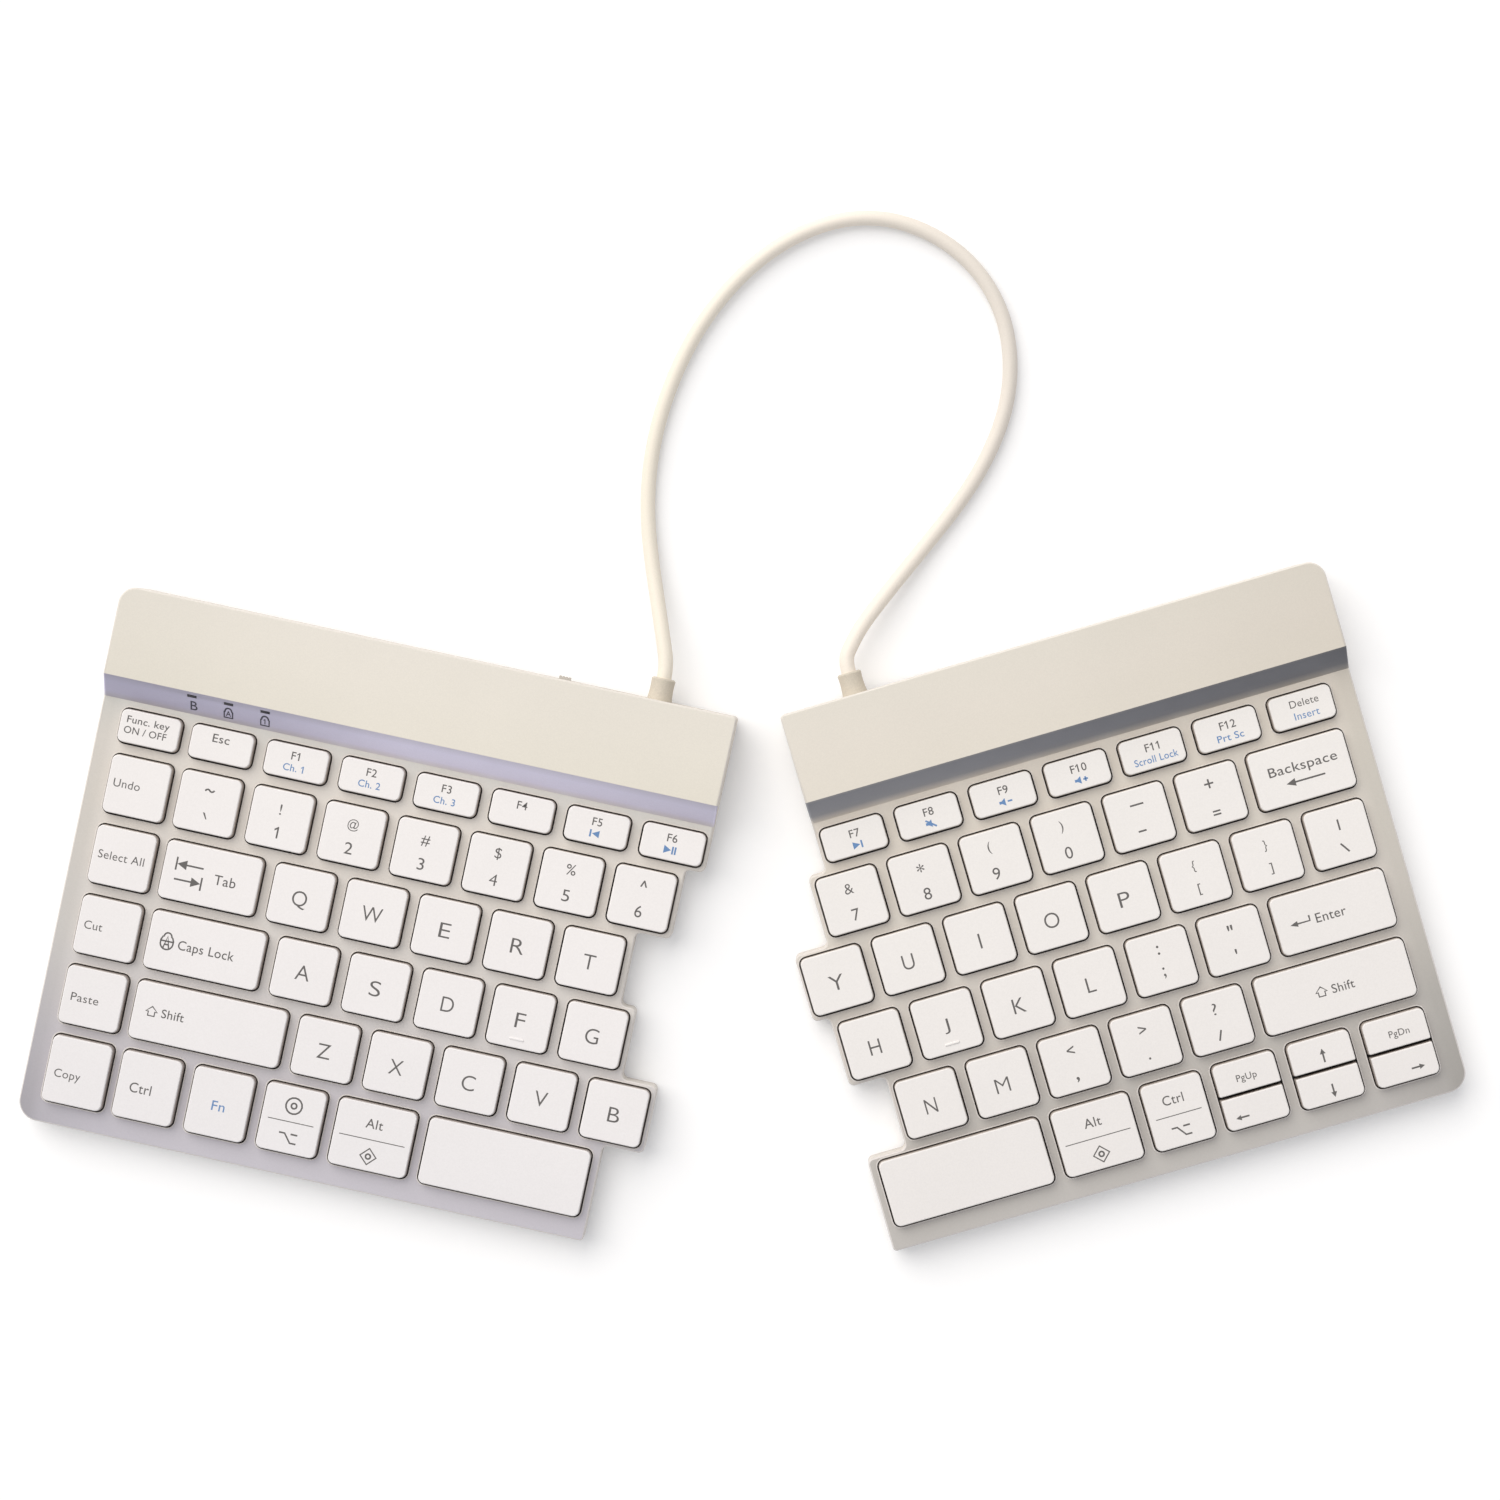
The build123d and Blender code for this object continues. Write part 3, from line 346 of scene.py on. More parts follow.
def caseFinishes(side):
    own = tones[side]
    edge, inwards = (layout["caseLeft"], 1) if side == "left" else (layout["caseRight"], -1)
    front, rear = (0, layout["caseFront"], 0), (0, layout["caseRear"], 0)
    bandFoot, bandHead = (0, layout["bandFront"], 0), (0, layout["bandRear"], 0)
    outer, split = (edge, 0, 0), (layout["splitX"], 0, 0)
    corner = (edge, layout["caseFront"], 0)
    fromCorner = (edge + inwards * tones["cornerReach"], layout["caseFront"] + tones["cornerReach"], 0)
    fromMargin = (edge + inwards * tones["marginReach"], 0, 0)
    capFoot, capHead = ((0, 0, height) for height in tones["capHeights"])
    loopLeft, loopRight = (halfPlace(side).inverted() @ Vector(end) for end in tones["jacketEnds"])
    made = {
        "cap": mouldedPlastic(
            side + "CapPlasticPaintedShade", side, front, rear, own["cap"], specular=0.3,
            shades=[(capFoot, capHead, tones["capShade"])],
        ),
        "deck": mouldedPlastic(
            side + "DeckPlasticPaintedShade", side, front, rear, own["deck"], rough=0.4, specular=0.4,
            shades=[(corner, fromCorner, tones["cornerShade"]), (outer, fromMargin, tones["marginShade"])],
        ),
        "bar": mouldedPlastic(
            side + "BarPlasticPaintedShade", side, bandHead, rear, own["bar"], rough=0.4, specular=0.4,
            shades=[(outer, split, own["barShade"])],
        ),
        "band": mouldedPlastic(
            side + "BandPaintedReflectionShade", side, bandFoot, bandHead, own["band"], rough=0.35, specular=0.4, bump=0.6,
            shades=[(outer, split, own["bandShade"])],
        ),
        "cable_jacket": mouldedPlastic(side + "CableJacketPaintedLightShade", side, loopLeft, loopRight, tones["jacket"]),
    }
    for finish, (name, frontTone, rearTone) in trims.items():
        made[finish] = mouldedPlastic(side + name, side, front, rear, [(0.0, frontTone), (1.0, rearTone)])
    for finish, (name, *values) in plainFinishes.items():
        made[finish] = plainFinish(side + name, side, extras.get(finish, {}), *values)
    return made


finishes = {side: caseFinishes(side) for side in sides}
print("materials made")


# Shared mesh steps

def newObject(name, data):
    made = bpy.data.objects.new(name, data)
    bpy.context.scene.collection.objects.link(made)
    return made


def meshPiece(name, bm, materials, place=None):
    # writes a bmesh as one object with smooth faces and sharp corners
    if place:
        bmesh.ops.transform(bm, matrix=place, verts=bm.verts)
    mesh = bpy.data.meshes.new(name)
    bm.to_mesh(mesh)
    bm.free()
    for material in materials:
        mesh.materials.append(material)
    mesh.shade_smooth()
    mesh.set_sharp_from_angle(angle=math.radians(layout["sharpAngle"]))
    piece = newObject(name, mesh)
    weighted = piece.modifiers.new("Flat faces stay flat", "WEIGHTED_NORMAL")
    weighted.keep_sharp = True
    return piece


def addMesh(bm, mesh, slotIndex, place=None):
    # joins a mesh into a bmesh and gives its faces one material slot
    if place:
        mesh.transform(place)
    before = len(bm.faces)
    bm.from_mesh(mesh)
    bm.faces.ensure_lookup_table()
    for face in bm.faces[before:]:
        face.material_index = slotIndex
    bpy.data.meshes.remove(mesh)


def addBmesh(bm, part, slotIndex=0):
    mesh = bpy.data.meshes.new("part")
    part.to_mesh(mesh)
    part.free()
    addMesh(bm, mesh, slotIndex)


def curveMesh(curve):
    # a curve or text as a mesh, before its place is applied
    holder = newObject("holder", curve)
    bpy.context.view_layer.update()
    mesh = bpy.data.meshes.new_from_object(holder.evaluated_get(bpy.context.evaluated_depsgraph_get()))
    bpy.data.objects.remove(holder)
    bpy.data.curves.remove(curve)
    return mesh


def polyCurve(name, dimensions, points, closed=True):
    # straight lines from point to point, flat on the drawing
    curve = bpy.data.curves.new(name, "CURVE")
    curve.dimensions = dimensions
    spline = curve.splines.new("POLY")
    spline.points.add(len(points) - 1)
    for place, (x, y) in zip(spline.points, points):
        place.co = (x, y, 0, 1)
    spline.use_cyclic_u = closed
    return curve


def islands(bm):
    # the separate solids of a bmesh, each as a list of its faces
    groups, seen = [], set()
    for first in bm.faces:
        if first.index in seen:
            continue
        seen.add(first.index)
        group, ahead = [], [first]
        while ahead:
            face = ahead.pop()
            group.append(face)
            for edge in face.edges:
                for other in edge.link_faces:
                    if other.index not in seen:
                        seen.add(other.index)
                        ahead.append(other)
        groups.append(group)
    return groups


def drawnCopy(node, side):
    # a merged copy of a CAD node, back in the joined drawing
    bm = bmesh.new()
    bm.from_mesh(frame["nodes"][node].data)
    bmesh.ops.transform(bm, matrix=halfPlace(side).inverted(), verts=bm.verts)
    bmesh.ops.remove_doubles(bm, verts=bm.verts, dist=layout["mergeDistance"])
    bm.faces.index_update()
    return bm


def extent(points):
    return [[pick(p[axis] for p in points) for axis in range(3)] for pick in (min, max)]


# Camera

camera = {
    "place": (25.79, 59.48, 850.0),
    "tiltX": -1.299,
    "tiltY": 1.544,
    "focusPixels": 3294.45,
    "framePixels": 1500,
    "sensor": 36.0,
    "clip": (0.01, 20),
}


def makeCamera():
    lens = bpy.data.cameras.new("camera")
    lens.sensor_width = camera["sensor"]
    lens.lens = camera["focusPixels"] / camera["framePixels"] * camera["sensor"]
    lens.clip_start, lens.clip_end = camera["clip"]
    holder = newObject("camera", lens)
    place = Matrix.Translation(Vector(camera["place"]) * layout["millimetre"])
    turnX, turnY = (Matrix.Rotation(math.radians(camera["tilt" + axis]), 4, axis) for axis in "XY")
    holder.matrix_world = place @ (turnY @ turnX)
    bpy.context.scene.camera = holder


makeCamera()


# Link cable

cable = {
    "radius": 1.9,
    "exitRun": 3.4,
    "height": 7.5,
    "mouthY": 37.8,
    "leftMouthX": 107.6,
    "rightMouthX": 148.4,
    "roundness": 6,
    "steps": 6,
    "mergeDistance": 0.01,
    "bendStart": (14.0, 80.7, 2.0),
    "bendEnd": (27.1, 61.3, 2.0),
    "route": [
        (-19.2, 69.0, 6.6), (-20.7, 78.5, 4.6), (-22.3, 88.8, 3.0), (-23.4, 99.0, 2.1),
        (-23.3, 109.1, 1.9), (-21.9, 119.3, 1.9), (-19.3, 129.2, 1.9), (-15.6, 138.7, 1.9),
        (-10.9, 147.7, 1.9), (-4.9, 156.1, 1.9), (2.1, 163.6, 1.9), (10.2, 169.8, 1.9),
        (19.3, 174.4, 1.9), (29.2, 176.9, 1.9), (39.5, 176.4, 1.9), (49.2, 172.9, 1.9),
        (57.6, 167.2, 1.9), (64.2, 159.5, 1.9), (68.4, 150.2, 1.9), (69.9, 140.0, 1.9),
        (69.1, 129.8, 1.9), (66.0, 120.0, 1.9), (61.4, 110.9, 1.9), (55.8, 102.6, 1.9),
        (49.6, 94.8, 2.1), (43.3, 87.1, 3.0), (37.2, 79.5, 4.5), (31.7, 72.3, 6.2), (29.0, 67.3, 7.1),
    ],
}


def cableCurve(points, radius):
    curve = bpy.data.curves.new("cable", "CURVE")
    curve.dimensions = "3D"
    curve.resolution_u = cable["steps"]
    spline = curve.splines.new("NURBS")
    spline.points.add(len(points) - 1)
    for place, point in zip(spline.points, points):
        place.co = (*point, 1)
    spline.order_u = 3
    spline.use_endpoint_u = True
    curve.bevel_depth = radius
    curve.bevel_resolution = cable["roundness"]
    curve.use_fill_caps = radius > 0
    return curve


def makeCable():
    mm = layout["millimetre"]
    ends = {}
    for side in sides:
        x = cable[side + "MouthX"]
        ends[side] = [
            halfPlace(side) @ Vector((x, cable["mouthY"] + run, cable["height"]))
            for run in (0, cable["exitRun"])
        ]
    points = ends["left"] + [Vector(p) * mm for p in cable["route"]] + ends["right"][::-1]
    line = curveMesh(cableCurve(points, 0))
    bm = bmesh.new()
    addMesh(bm, curveMesh(cableCurve(points, cable["radius"] * mm)), 0)
    bmesh.ops.remove_doubles(bm, verts=bm.verts, dist=cable["mergeDistance"] * mm)
    piece = meshPiece("link_cable_jacket", bm, [finishes["left"]["cable_jacket"]])
    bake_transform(piece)
    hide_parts("link_cable")


makeCable()


# Legends: words and marks printed on the caps, in millimetres from the middle of the cap

ink = {
    "thickness": 0.016,
    "stroke": 0.46,
    "outline": 0.42,
    "hairline": 0.24,
    "boldest": 0.009,
    "boldestHeight": 1.75,
    "fade": 0.007,
    "thinner": 0.006,
    "roundness": 6,
    "spacing": 1.05,
    "flagShares": (0.3, 0.2, 0.17),
    "flagThickness": 0.9,
    "barLeastHeight": 0.9,
    "barMostWidth": 0.25,
    "mergeDistance": 1e-5,
}
# width of a text against the built-in font's, and the texts printed in thinner strokes
textWidths = {
    "E": 1.33, "R": 1.2, "F": 1.26, "S": 1.36, "Q": 0.94, "W": 0.91, "D": 0.93, "X": 0.93, "B": 1.15,
    "Y": 1.16, "U": 0.92, "O": 0.94, "P": 1.22, "J": 1.55, "H": 0.92, "N": 0.86, "M": 1.05, "?": 1.3,
    "@": 0.95, "2": 1.1, "3": 1.1, "4": 1.06, "5": 1.14, "Func. key": 1.1, "Esc": 1.12, "Paste": 1.1,
    "Ctrl": 0.95, "Fn": 1.08, "Backspace": 1.2, "Scroll Lock": 0.93, "Prt Sc": 1.1, "Caps Lock": 0.96,
}
thinTexts = (
    "Undo", "Select All", "Cut", "Paste", "Copy", "Delete", "Insert", "PgUp", "PgDn", "&", "?", "4", "M", "$",
)


def addFlags(mesh):
    # the built-in figure one is a plain bar, so each gets the slanting stroke at its head
    bm = bmesh.new()
    bm.from_mesh(mesh)
    bmesh.ops.remove_doubles(bm, verts=bm.verts, dist=ink["mergeDistance"])
    bm.faces.index_update()
    width, drop, weight = (share * capitalHeight for share in ink["flagShares"])
    for group in islands(bm):
        low, high = extent([v.co for face in group for v in face.verts])
        wide, tall = ((high[axis] - low[axis]) / capitalHeight for axis in (0, 1))
        if tall > ink["barLeastHeight"] and wide < ink["barMostWidth"]:
            x, top = (low[0] + high[0]) / 2, high[1]
            points = [(x, top), (x - width, top - drop), (x - width, top - drop - weight), (x, top - weight)]
            flag = shapeMesh(points)
            # a little thinner than the bar, so their tops don't share a plane
            flag.transform(Matrix.Diagonal((1, 1, 2 * high[2] / ink["thickness"] * ink["flagThickness"], 1)))
            addMesh(bm, flag, 0)
    bm.to_mesh(mesh)
    bm.free()


def textMesh(words, height, align="CENTER"):
    curve = bpy.data.curves.new("words", "FONT")
    curve.body = words
    curve.align_x = align
    curve.resolution_u = ink["roundness"]
    curve.space_character = ink["spacing"]
    curve.offset = ink["boldest"] - ink["fade"] * (height - ink["boldestHeight"])
    curve.offset -= ink["thinner"] if words in thinTexts else 0
    curve.extrude = 0.5  # one thick, until it is pressed to the thickness of the ink
    mesh = curveMesh(curve)
    if "1" in words:
        addFlags(mesh)
    size = height / capitalHeight
    wide = size * textWidths.get(words, 1)
    middle = Matrix.Translation((0, -capitalHeight / 2, 0))
    mesh.transform(Matrix.Diagonal((wide, size, ink["thickness"], 1)) @ middle)
    return mesh


def signMesh(text, height, capital):
    # centred on its box; height is that of a capital beside it or, without one, its own
    mesh = textMesh(text, height)
    low, high = extent([v.co for v in mesh.vertices])
    size = 1 if capital else height / (high[1] - low[1])
    centre = Matrix.Translation((-(low[0] + high[0]) / 2, -(low[1] + high[1]) / 2, 0))
    mesh.transform(Matrix.Diagonal((size, size, 1, 1)) @ centre)
    return mesh


def measureCapital():
    curve = bpy.data.curves.new("capital", "FONT")
    curve.body = "H"
    mesh = curveMesh(curve)
    low, high = extent([v.co for v in mesh.vertices])
    bpy.data.meshes.remove(mesh)
    return high[1] - low[1]


capitalHeight = measureCapital()


def arc(x, y, radius, fromAngle, toAngle, count=8):
    steps = [fromAngle + (toAngle - fromAngle) * i / count for i in range(count + 1)]
    return [(x + radius * math.cos(math.radians(a)), y + radius * math.sin(math.radians(a))) for a in steps]


def ring(x, y, radius):
    return ("loop", arc(x, y, radius, 0, 337.5, 15))


def speaker(x):
    corners = [(-0.7, -0.35), (0, -0.35), (0.9, -1.0), (0.9, 1.0), (0, 0.35), (-0.7, 0.35)]
    return ("fill", [(x + dx, y) for dx, y in corners])


# A mark is a list of lines, closed loops and filled shapes, drawn about its middle
marks = {
    "backTab": [("line", [(-3.6, -1.7), (-3.6, 1.7)]), ("line", [(-3.0, 0), (3.5, 0)]),
                ("fill", [(-3.4, 0), (-0.9, -1.25), (-0.9, 1.25)])],
    "foreTab": [("line", [(3.6, -1.7), (3.6, 1.7)]), ("line", [(-3.5, 0), (3.0, 0)]),
                ("fill", [(3.4, 0), (0.9, 1.25), (0.9, -1.25)])],
    "capLock": [("loop", arc(0, -0.4, 1.65, 190, 350) + [(1.65, 0.3), (1.25, 1.2)] + arc(0, 1.3, 1.0, 0, 180)
                 + [(-1.25, 1.2), (-1.65, 0.3)]),
                ("line", [(-1.6, 0.1), (1.6, 0.1)]), ("line", [(-0.75, -1.7), (0, 1.4), (0.75, -1.7)]),
                ("line", [(-0.5, -0.75), (0.5, -0.75)])],
    "shiftArrow": [("loop", [(0, 1.25), (1.5, -0.1), (0.85, -0.1), (0.85, -1.2), (-0.85, -1.2), (-0.85, -0.1),
                             (-1.5, -0.1)])],
    "enterArrow": [("line", [(2.6, 1.2), (2.6, -0.2), (-1.6, -0.2)]),
                   ("fill", [(-2.6, -0.2), (-0.6, -0.95), (-0.6, 0.55)])],
    "backArrow": [("line", [(-4.2, 0), (5.0, 0)]), ("fill", [(-5.2, 0), (-2.8, -1.0), (-2.8, 1.0)])],
    "leftArrow": [("line", [(-1.3, 0), (1.7, 0)]), ("fill", [(-1.8, 0), (-0.4, -0.7), (-0.4, 0.7)])],
    "rightArrow": [("line", [(-1.7, 0), (1.3, 0)]), ("fill", [(1.8, 0), (0.4, 0.7), (0.4, -0.7)])],
    "upArrow": [("line", [(0, -1.8), (0, 1.2)]), ("fill", [(0, 1.8), (-0.75, 0.4), (0.75, 0.4)])],
    "downArrow": [("line", [(0, 1.7), (0, -1.2)]), ("fill", [(0, -1.8), (0.75, -0.4), (-0.75, -0.4)])],
    "previous": [("line", [(-1.2, -0.95), (-1.2, 0.95)]), ("fill", [(-0.8, 0), (1.1, -0.95), (1.1, 0.95)])],
    "next": [("line", [(1.2, -0.95), (1.2, 0.95)]), ("fill", [(0.8, 0), (-1.1, 0.95), (-1.1, -0.95)])],
    "playPause": [("fill", [(-1.6, 1.05), (-1.6, -1.05), (0.3, 0)]), ("line", [(0.7, -1.0), (0.7, 1.0)]),
                  ("line", [(1.4, -1.0), (1.4, 1.0)])],
    "mute": [speaker(-0.7), ("line", [(-1.3, 1.0), (1.2, -1.0)])],
    "quieter": [speaker(-1.0), ("line", [(0.5, 0), (1.7, 0)])],
    "louder": [speaker(-1.0), ("line", [(0.5, 0), (1.7, 0)]), ("line", [(1.1, -0.6), (1.1, 0.6)])],
    "divider": [("line", [(-6.0, 0), (6.0, 0)])],
    "longDivider": [("line", [(-8.6, 0), (8.6, 0)])],
    "systemRing": [ring(0, 0, 2.1), ring(0, 0, 0.7)],
    "stepLine": [("line", [(-2.3, 1.1), (-0.9, 1.1), (0.8, -1.1), (2.3, -1.1)]),
                 ("line", [(0.6, 1.1), (2.3, 1.1)])],
    "diamond": [("loop", [(0, 2.0), (2.0, 0), (0, -2.0), (-2.0, 0)]), ring(0, 0, 0.6)],
    "tilde": [("line", [(-1.2, -0.2), (-0.9, 0.15), (-0.55, 0.3), (-0.2, 0.2), (0.2, -0.15), (0.55, -0.25),
                        (0.9, -0.1), (1.2, 0.25)])],
    "grave": [("fill", [(-0.55, 0.75), (-0.1, 0.75), (0.55, -0.65), (0.3, -0.7)])],
    "longDash": [("line", [(-1.75, 0), (1.75, 0)])],
    "uprightBar": [("line", [(0, -1.4), (0, 1.4)])],
    "backSlash": [("line", [(-0.85, 1.25), (0.85, -1.25)])],
    "slash": [("line", [(-0.5, -1.3), (0.5, 1.3)])],
    "shortDash": [("line", [(-1.05, 0), (1.05, 0)])],
    "lockBody": [("loop", [(-1.1, -1.2), (1.1, -1.2), (1.1, 0.3)] + arc(0, 0.4, 0.9, 0, 180)
                  + [(-1.1, 0.3)])],
}


def strokeMesh(points, closed, width):
    # a flat printed line: a round-edged curve pressed thin
    curve = polyCurve("line", "3D", points, closed)
    curve.bevel_depth = width / 2
    curve.bevel_resolution = 1
    curve.use_fill_caps = not closed
    mesh = curveMesh(curve)
    mesh.transform(Matrix.Diagonal((1, 1, ink["thickness"] / width, 1)))
    return mesh


def shapeMesh(points):
    # a flat filled shape
    curve = polyCurve("shape", "2D", points)
    curve.fill_mode = "BOTH"
    curve.extrude = ink["thickness"] / 2
    return curveMesh(curve)


def addMark(bm, name, place, slotIndex, scale=1.0, width=None):
    size = place @ Matrix.Diagonal((scale, scale, 1, 1))
    for kind, points in marks[name]:
        if kind == "fill":
            addMesh(bm, shapeMesh(points), slotIndex, size)
        else:
            stroke = strokeMesh(points, kind == "loop", (width or ink["stroke"]) / scale)
            addMesh(bm, stroke, slotIndex, size)


# Heights of the capitals, and how high the lines of print stand on their caps
printed = {
    "letter": 3.9,
    "upperSign": 2.7,
    "lowerSign": 3.0,
    "function": 2.0,
    "underFunction": 1.75,
    "functionDrop": 3.1,
    "shortcut": 2.1,
    "command": 2.4,
    "commandRows": (3.7, -0.4, -4.75),
    "systemScale": 1.05,
}


# word: text, x, y, height of its capitals, colour, side it is lined up to
def word(text, x, y, height, colour="grey", align="CENTER"):
    return ("word", text, x, y, height, colour, align)


def mark(name, x, y, scale=1.0, colour="grey", width=None):
    return ("mark", name, x, y, scale, colour, width)


def outlined(name, x, y):
    return mark(name, x, y, 1.0, "grey", ink["outline"])


def dividing(name, y):
    return mark(name, 0, y, 1.0, "grey", ink["hairline"])


def letter(text, y=-0.2):
    # the built-in J hangs below the line, so it is sized by its own height
    size = printed["letter"]
    return [("sign", text, -0.2, y, size, "grey", False) if text == "J" else word(text, -0.2, y, size)]


def sign(text, x, y, height):
    # one sign centred on its own box; dashes are drawn, and some are given their own height
    dx, dy = signMoves.get(text, (0, 0))
    if text in dashes:
        return mark(dashes[text], x + dx, y + dy)
    return ("sign", text, x + dx, y + dy, signHeights.get(text, height), "grey", text not in signHeights)


def pair(upper, lower, x=-0.15, upperY=2.7, lowerY=-3.3):
    return [sign(upper, x, upperY, printed["upperSign"]), sign(lower, x, lowerY, printed["lowerSign"])]


def pairs(uppers, lowers, *places):
    return [pair(upper, lower, *places) for upper, lower in zip(uppers, lowers)]


def functionWord(text, sub=None, x=-0.2, y=1.65):
    label = [word(text, x, y, printed["function"])]
    if sub:
        label.append(word(sub, x, y - printed["functionDrop"], printed["underFunction"], "blue"))
    return label


def functionMark(text, name, x=-0.2, y=1.65):
    return functionWord(text, None, x, y) + [mark(name, x, y - printed["functionDrop"], 1.0, "blue")]


def shortcut(text, x=-6.4, y=0.1):
    return [word(text, x, y, printed["shortcut"], "grey", "LEFT")]


def commandMarks(text, x, name, divider):
    # a word, a line across and the sign for the other system under it
    wordY, lineY, signY = printed["commandRows"]
    return [
        word(text, x, wordY, printed["command"]), dividing(divider, lineY),
        mark(name, x, signY, printed["systemScale"]),
    ]


dashes = {"_": "longDash", "-": "shortDash", "|": "uprightBar", "\\": "backSlash", "/": "slash"}
signHeights = {
    "*": 2.2, "^": 1.7, "+": 2.4, "=": 1.3, ":": 2.4, ";": 2.9, '"': 1.4, "'": 1.3, ",": 1.4, ".": 0.6,
    "{": 3.0, "}": 3.0, "[": 3.0, "]": 3.0, "<": 2.1, ">": 2.1, "?": 3.0, "(": 3.2, ")": 3.2, "@": 3.1,
}
signMoves = {
    "$": (-0.1, 0.75), "%": (0, 0.75), "^": (0, 1.2), "(": (-0.7, 0), "9": (-0.7, 0), ")": (-0.6, 0),
    "0": (-0.6, 0), "_": (0.3, 0.2), "-": (-0.1, 0.1), "+": (0.3, 0.2), "=": (0.3, -0.7), '"': (0, 0.9),
    "'": (-0.1, 0.7), ":": (0, 0.5), ";": (0, 0.5), "<": (0, 0.6), ">": (0, 0.6), ",": (-0.1, -1.1),
    ".": (-0.1, -1.0), "?": (0.1, 0.5), "/": (-0.3, -0.3), "|": (0.5, 0), "\\": (0.5, 0), "{": (0.3, 0),
    "[": (0.3, 0), "}": (0.2, 0), "]": (0.2, 0),
}
legends = {
    "function_lock": [[word("Func. key", -0.65, 1.95, 1.75), word("ON / OFF", -0.9, -0.8, 1.75)]],
    "escape": [[word("Esc", -0.35, 1.85, 2.1)]],
    "function_row_left": [
        functionWord("F1", "Ch. 1"), functionWord("F2", "Ch. 2"), functionWord("F3", "Ch. 3"),
        functionWord("F4"), functionMark("F5", "previous"), functionMark("F6", "playPause", -0.35),
    ],
    "shortcut_keys": [
        shortcut("Undo", -6.4, 0.55), shortcut("Select All", -6.4, 0.3), shortcut("Cut", -6.2, 0.15),
        shortcut("Paste", -5.8, -0.25), shortcut("Copy", -5.9, -0.8),
    ],
    "digit_keys_left": [[mark("tilde", 0, 3.5), mark("grave", 0, -3.1, 1.15)]]
    + pairs("!@#$%^", "123456"),
    "tab": [[mark("backTab", -5.65, 2.0), mark("foreTab", -5.65, -2.0), word("Tab", 3.9, 0, 2.5)]],
    "top_letter_keys_left": [letter(text) for text in "QWERT"],
    "caps_lock": [[outlined("capLock", -9.9, 0.2), word("Caps Lock", 0.3, 0, 2.35)]],
    "home_letter_keys_left": [letter(text) for text in "ASDFG"],
    "left_shift": [[outlined("shiftArrow", -14.8, 0.3), word("Shift", -9.3, 0.3, 2.2)]],
    "bottom_letter_keys_left": [letter(text, -0.3) for text in "ZXCVB"],
    "left_control": [[word("Ctrl", -1.6, -0.3, 2.5)]],
    "fn": [[word("Fn", -0.1, -0.4, 2.5, "blue")]],
    "left_meta": [[
        mark("systemRing", 0, 3.85), dividing("divider", -0.35),
        mark("stepLine", 0, -4.6, printed["systemScale"]),
    ]],
    "left_alt": [commandMarks("Alt", -0.1, "diamond", "longDivider")],
    "left_space": [[]],
    "function_row_right": [
        functionMark("F7", "next", 0.3, 1.35), functionMark("F8", "mute", 0.2, 1.35),
        functionMark("F9", "quieter", 0.2, 1.35), functionMark("F10", "louder", 0.45, 1.35),
        functionWord("F11", "Scroll Lock", 0.4, 1.35), functionWord("F12", "Prt Sc", 0.3, 1.35),
    ],
    "delete": [[word("Delete", 0.75, 1.6, 1.85), word("Insert", 0.65, -1.6, 1.85, "blue")]],
    "digit_keys_right": pairs("&*()_+", "7890-=", -0.1, 3.25, -3.5),
    "backspace": [[word("Backspace", 0.5, 1.6, 2.4), mark("backArrow", 0.5, -2.25)]],
    "top_letter_keys_right": [letter(text, -0.4) for text in "YUIOP"] + pairs("{}|", "[]\\"),
    "home_letter_keys_right": [letter(text, -0.5) for text in "HJKL"] + pairs(":\"", ";'"),
    "enter": [[mark("enterArrow", -8.8, 0.0), word("Enter", -0.85, -0.1, 2.4)]],
    "bottom_letter_keys_right": [letter(text, -0.45) for text in "NM"] + pairs("<>?", ",./"),
    "right_shift": [[outlined("shiftArrow", -3.7, 0), word("Shift", 1.9, -0.1, 2.2)]],
    "right_space": [[]],
    "right_alt": [commandMarks("Alt", -0.3, "diamond", "longDivider")],
    "right_control": [commandMarks("Ctrl", -0.4, "stepLine", "divider")],
    "page_keys": [[word("PgUp", -0.15, -0.35, 1.7)], [word("PgDn", 0.65, -0.35, 1.7)]],
    "arrow_up": [[mark("upArrow", 0.35, -0.7)]],
    "arrow_left": [[mark("leftArrow", -3.8, -1.15)]],
    "arrow_down": [[mark("downArrow", 0.45, -0.9)]],
    "arrow_right": [[mark("rightArrow", 2.9, -1.1)]],
}


def addLegend(bm, entries, x, y, z):
    slots = {"grey": 1, "blue": 2}
    for kind, content, dx, dy, size, colour, last in entries:
        place = Matrix.Translation((x + dx, y + dy, z))
        if kind == "word":
            addMesh(bm, textMesh(content, size, last), slots[colour], place)
        elif kind == "sign":
            addMesh(bm, signMesh(content, size, last), slots[colour], place)
        else:
            addMark(bm, content, place, slots[colour], size, last)


# Keycaps

keycap = {
    "wall": 1.2,
    "ceiling": 9.5,
    "top": 10.6,
    "corner": 1.6,
    "innerCorner": 0.5,
    "pairCorner": 0.4,
    "cornerSteps": 6,
    "smallSteps": 3,
    "taper": 3.5,
    "crownRearward": 0.12,
    "edgeRound": 0.32,
    "edgeSteps": 4,
    "stemRadius": 1.2,
    "stemSides": 16,
    "stemFoot": 8.0,
    "stemOverlap": 0.1,
    "homeBar": (3.8, 0.6, 0.25),
    "homeBarRound": 0.2,
    "homeBarFromFront": 2.6,
    "homeKeys": {"home_letter_keys_left": 3, "home_letter_keys_right": 1},
    "tolerance": 1e-4,
    "topTolerance": 0.01,
}
rearHalfKeys = ("page_keys", "arrow_up")
frontHalfKeys = ("arrow_left", "arrow_down", "arrow_right")


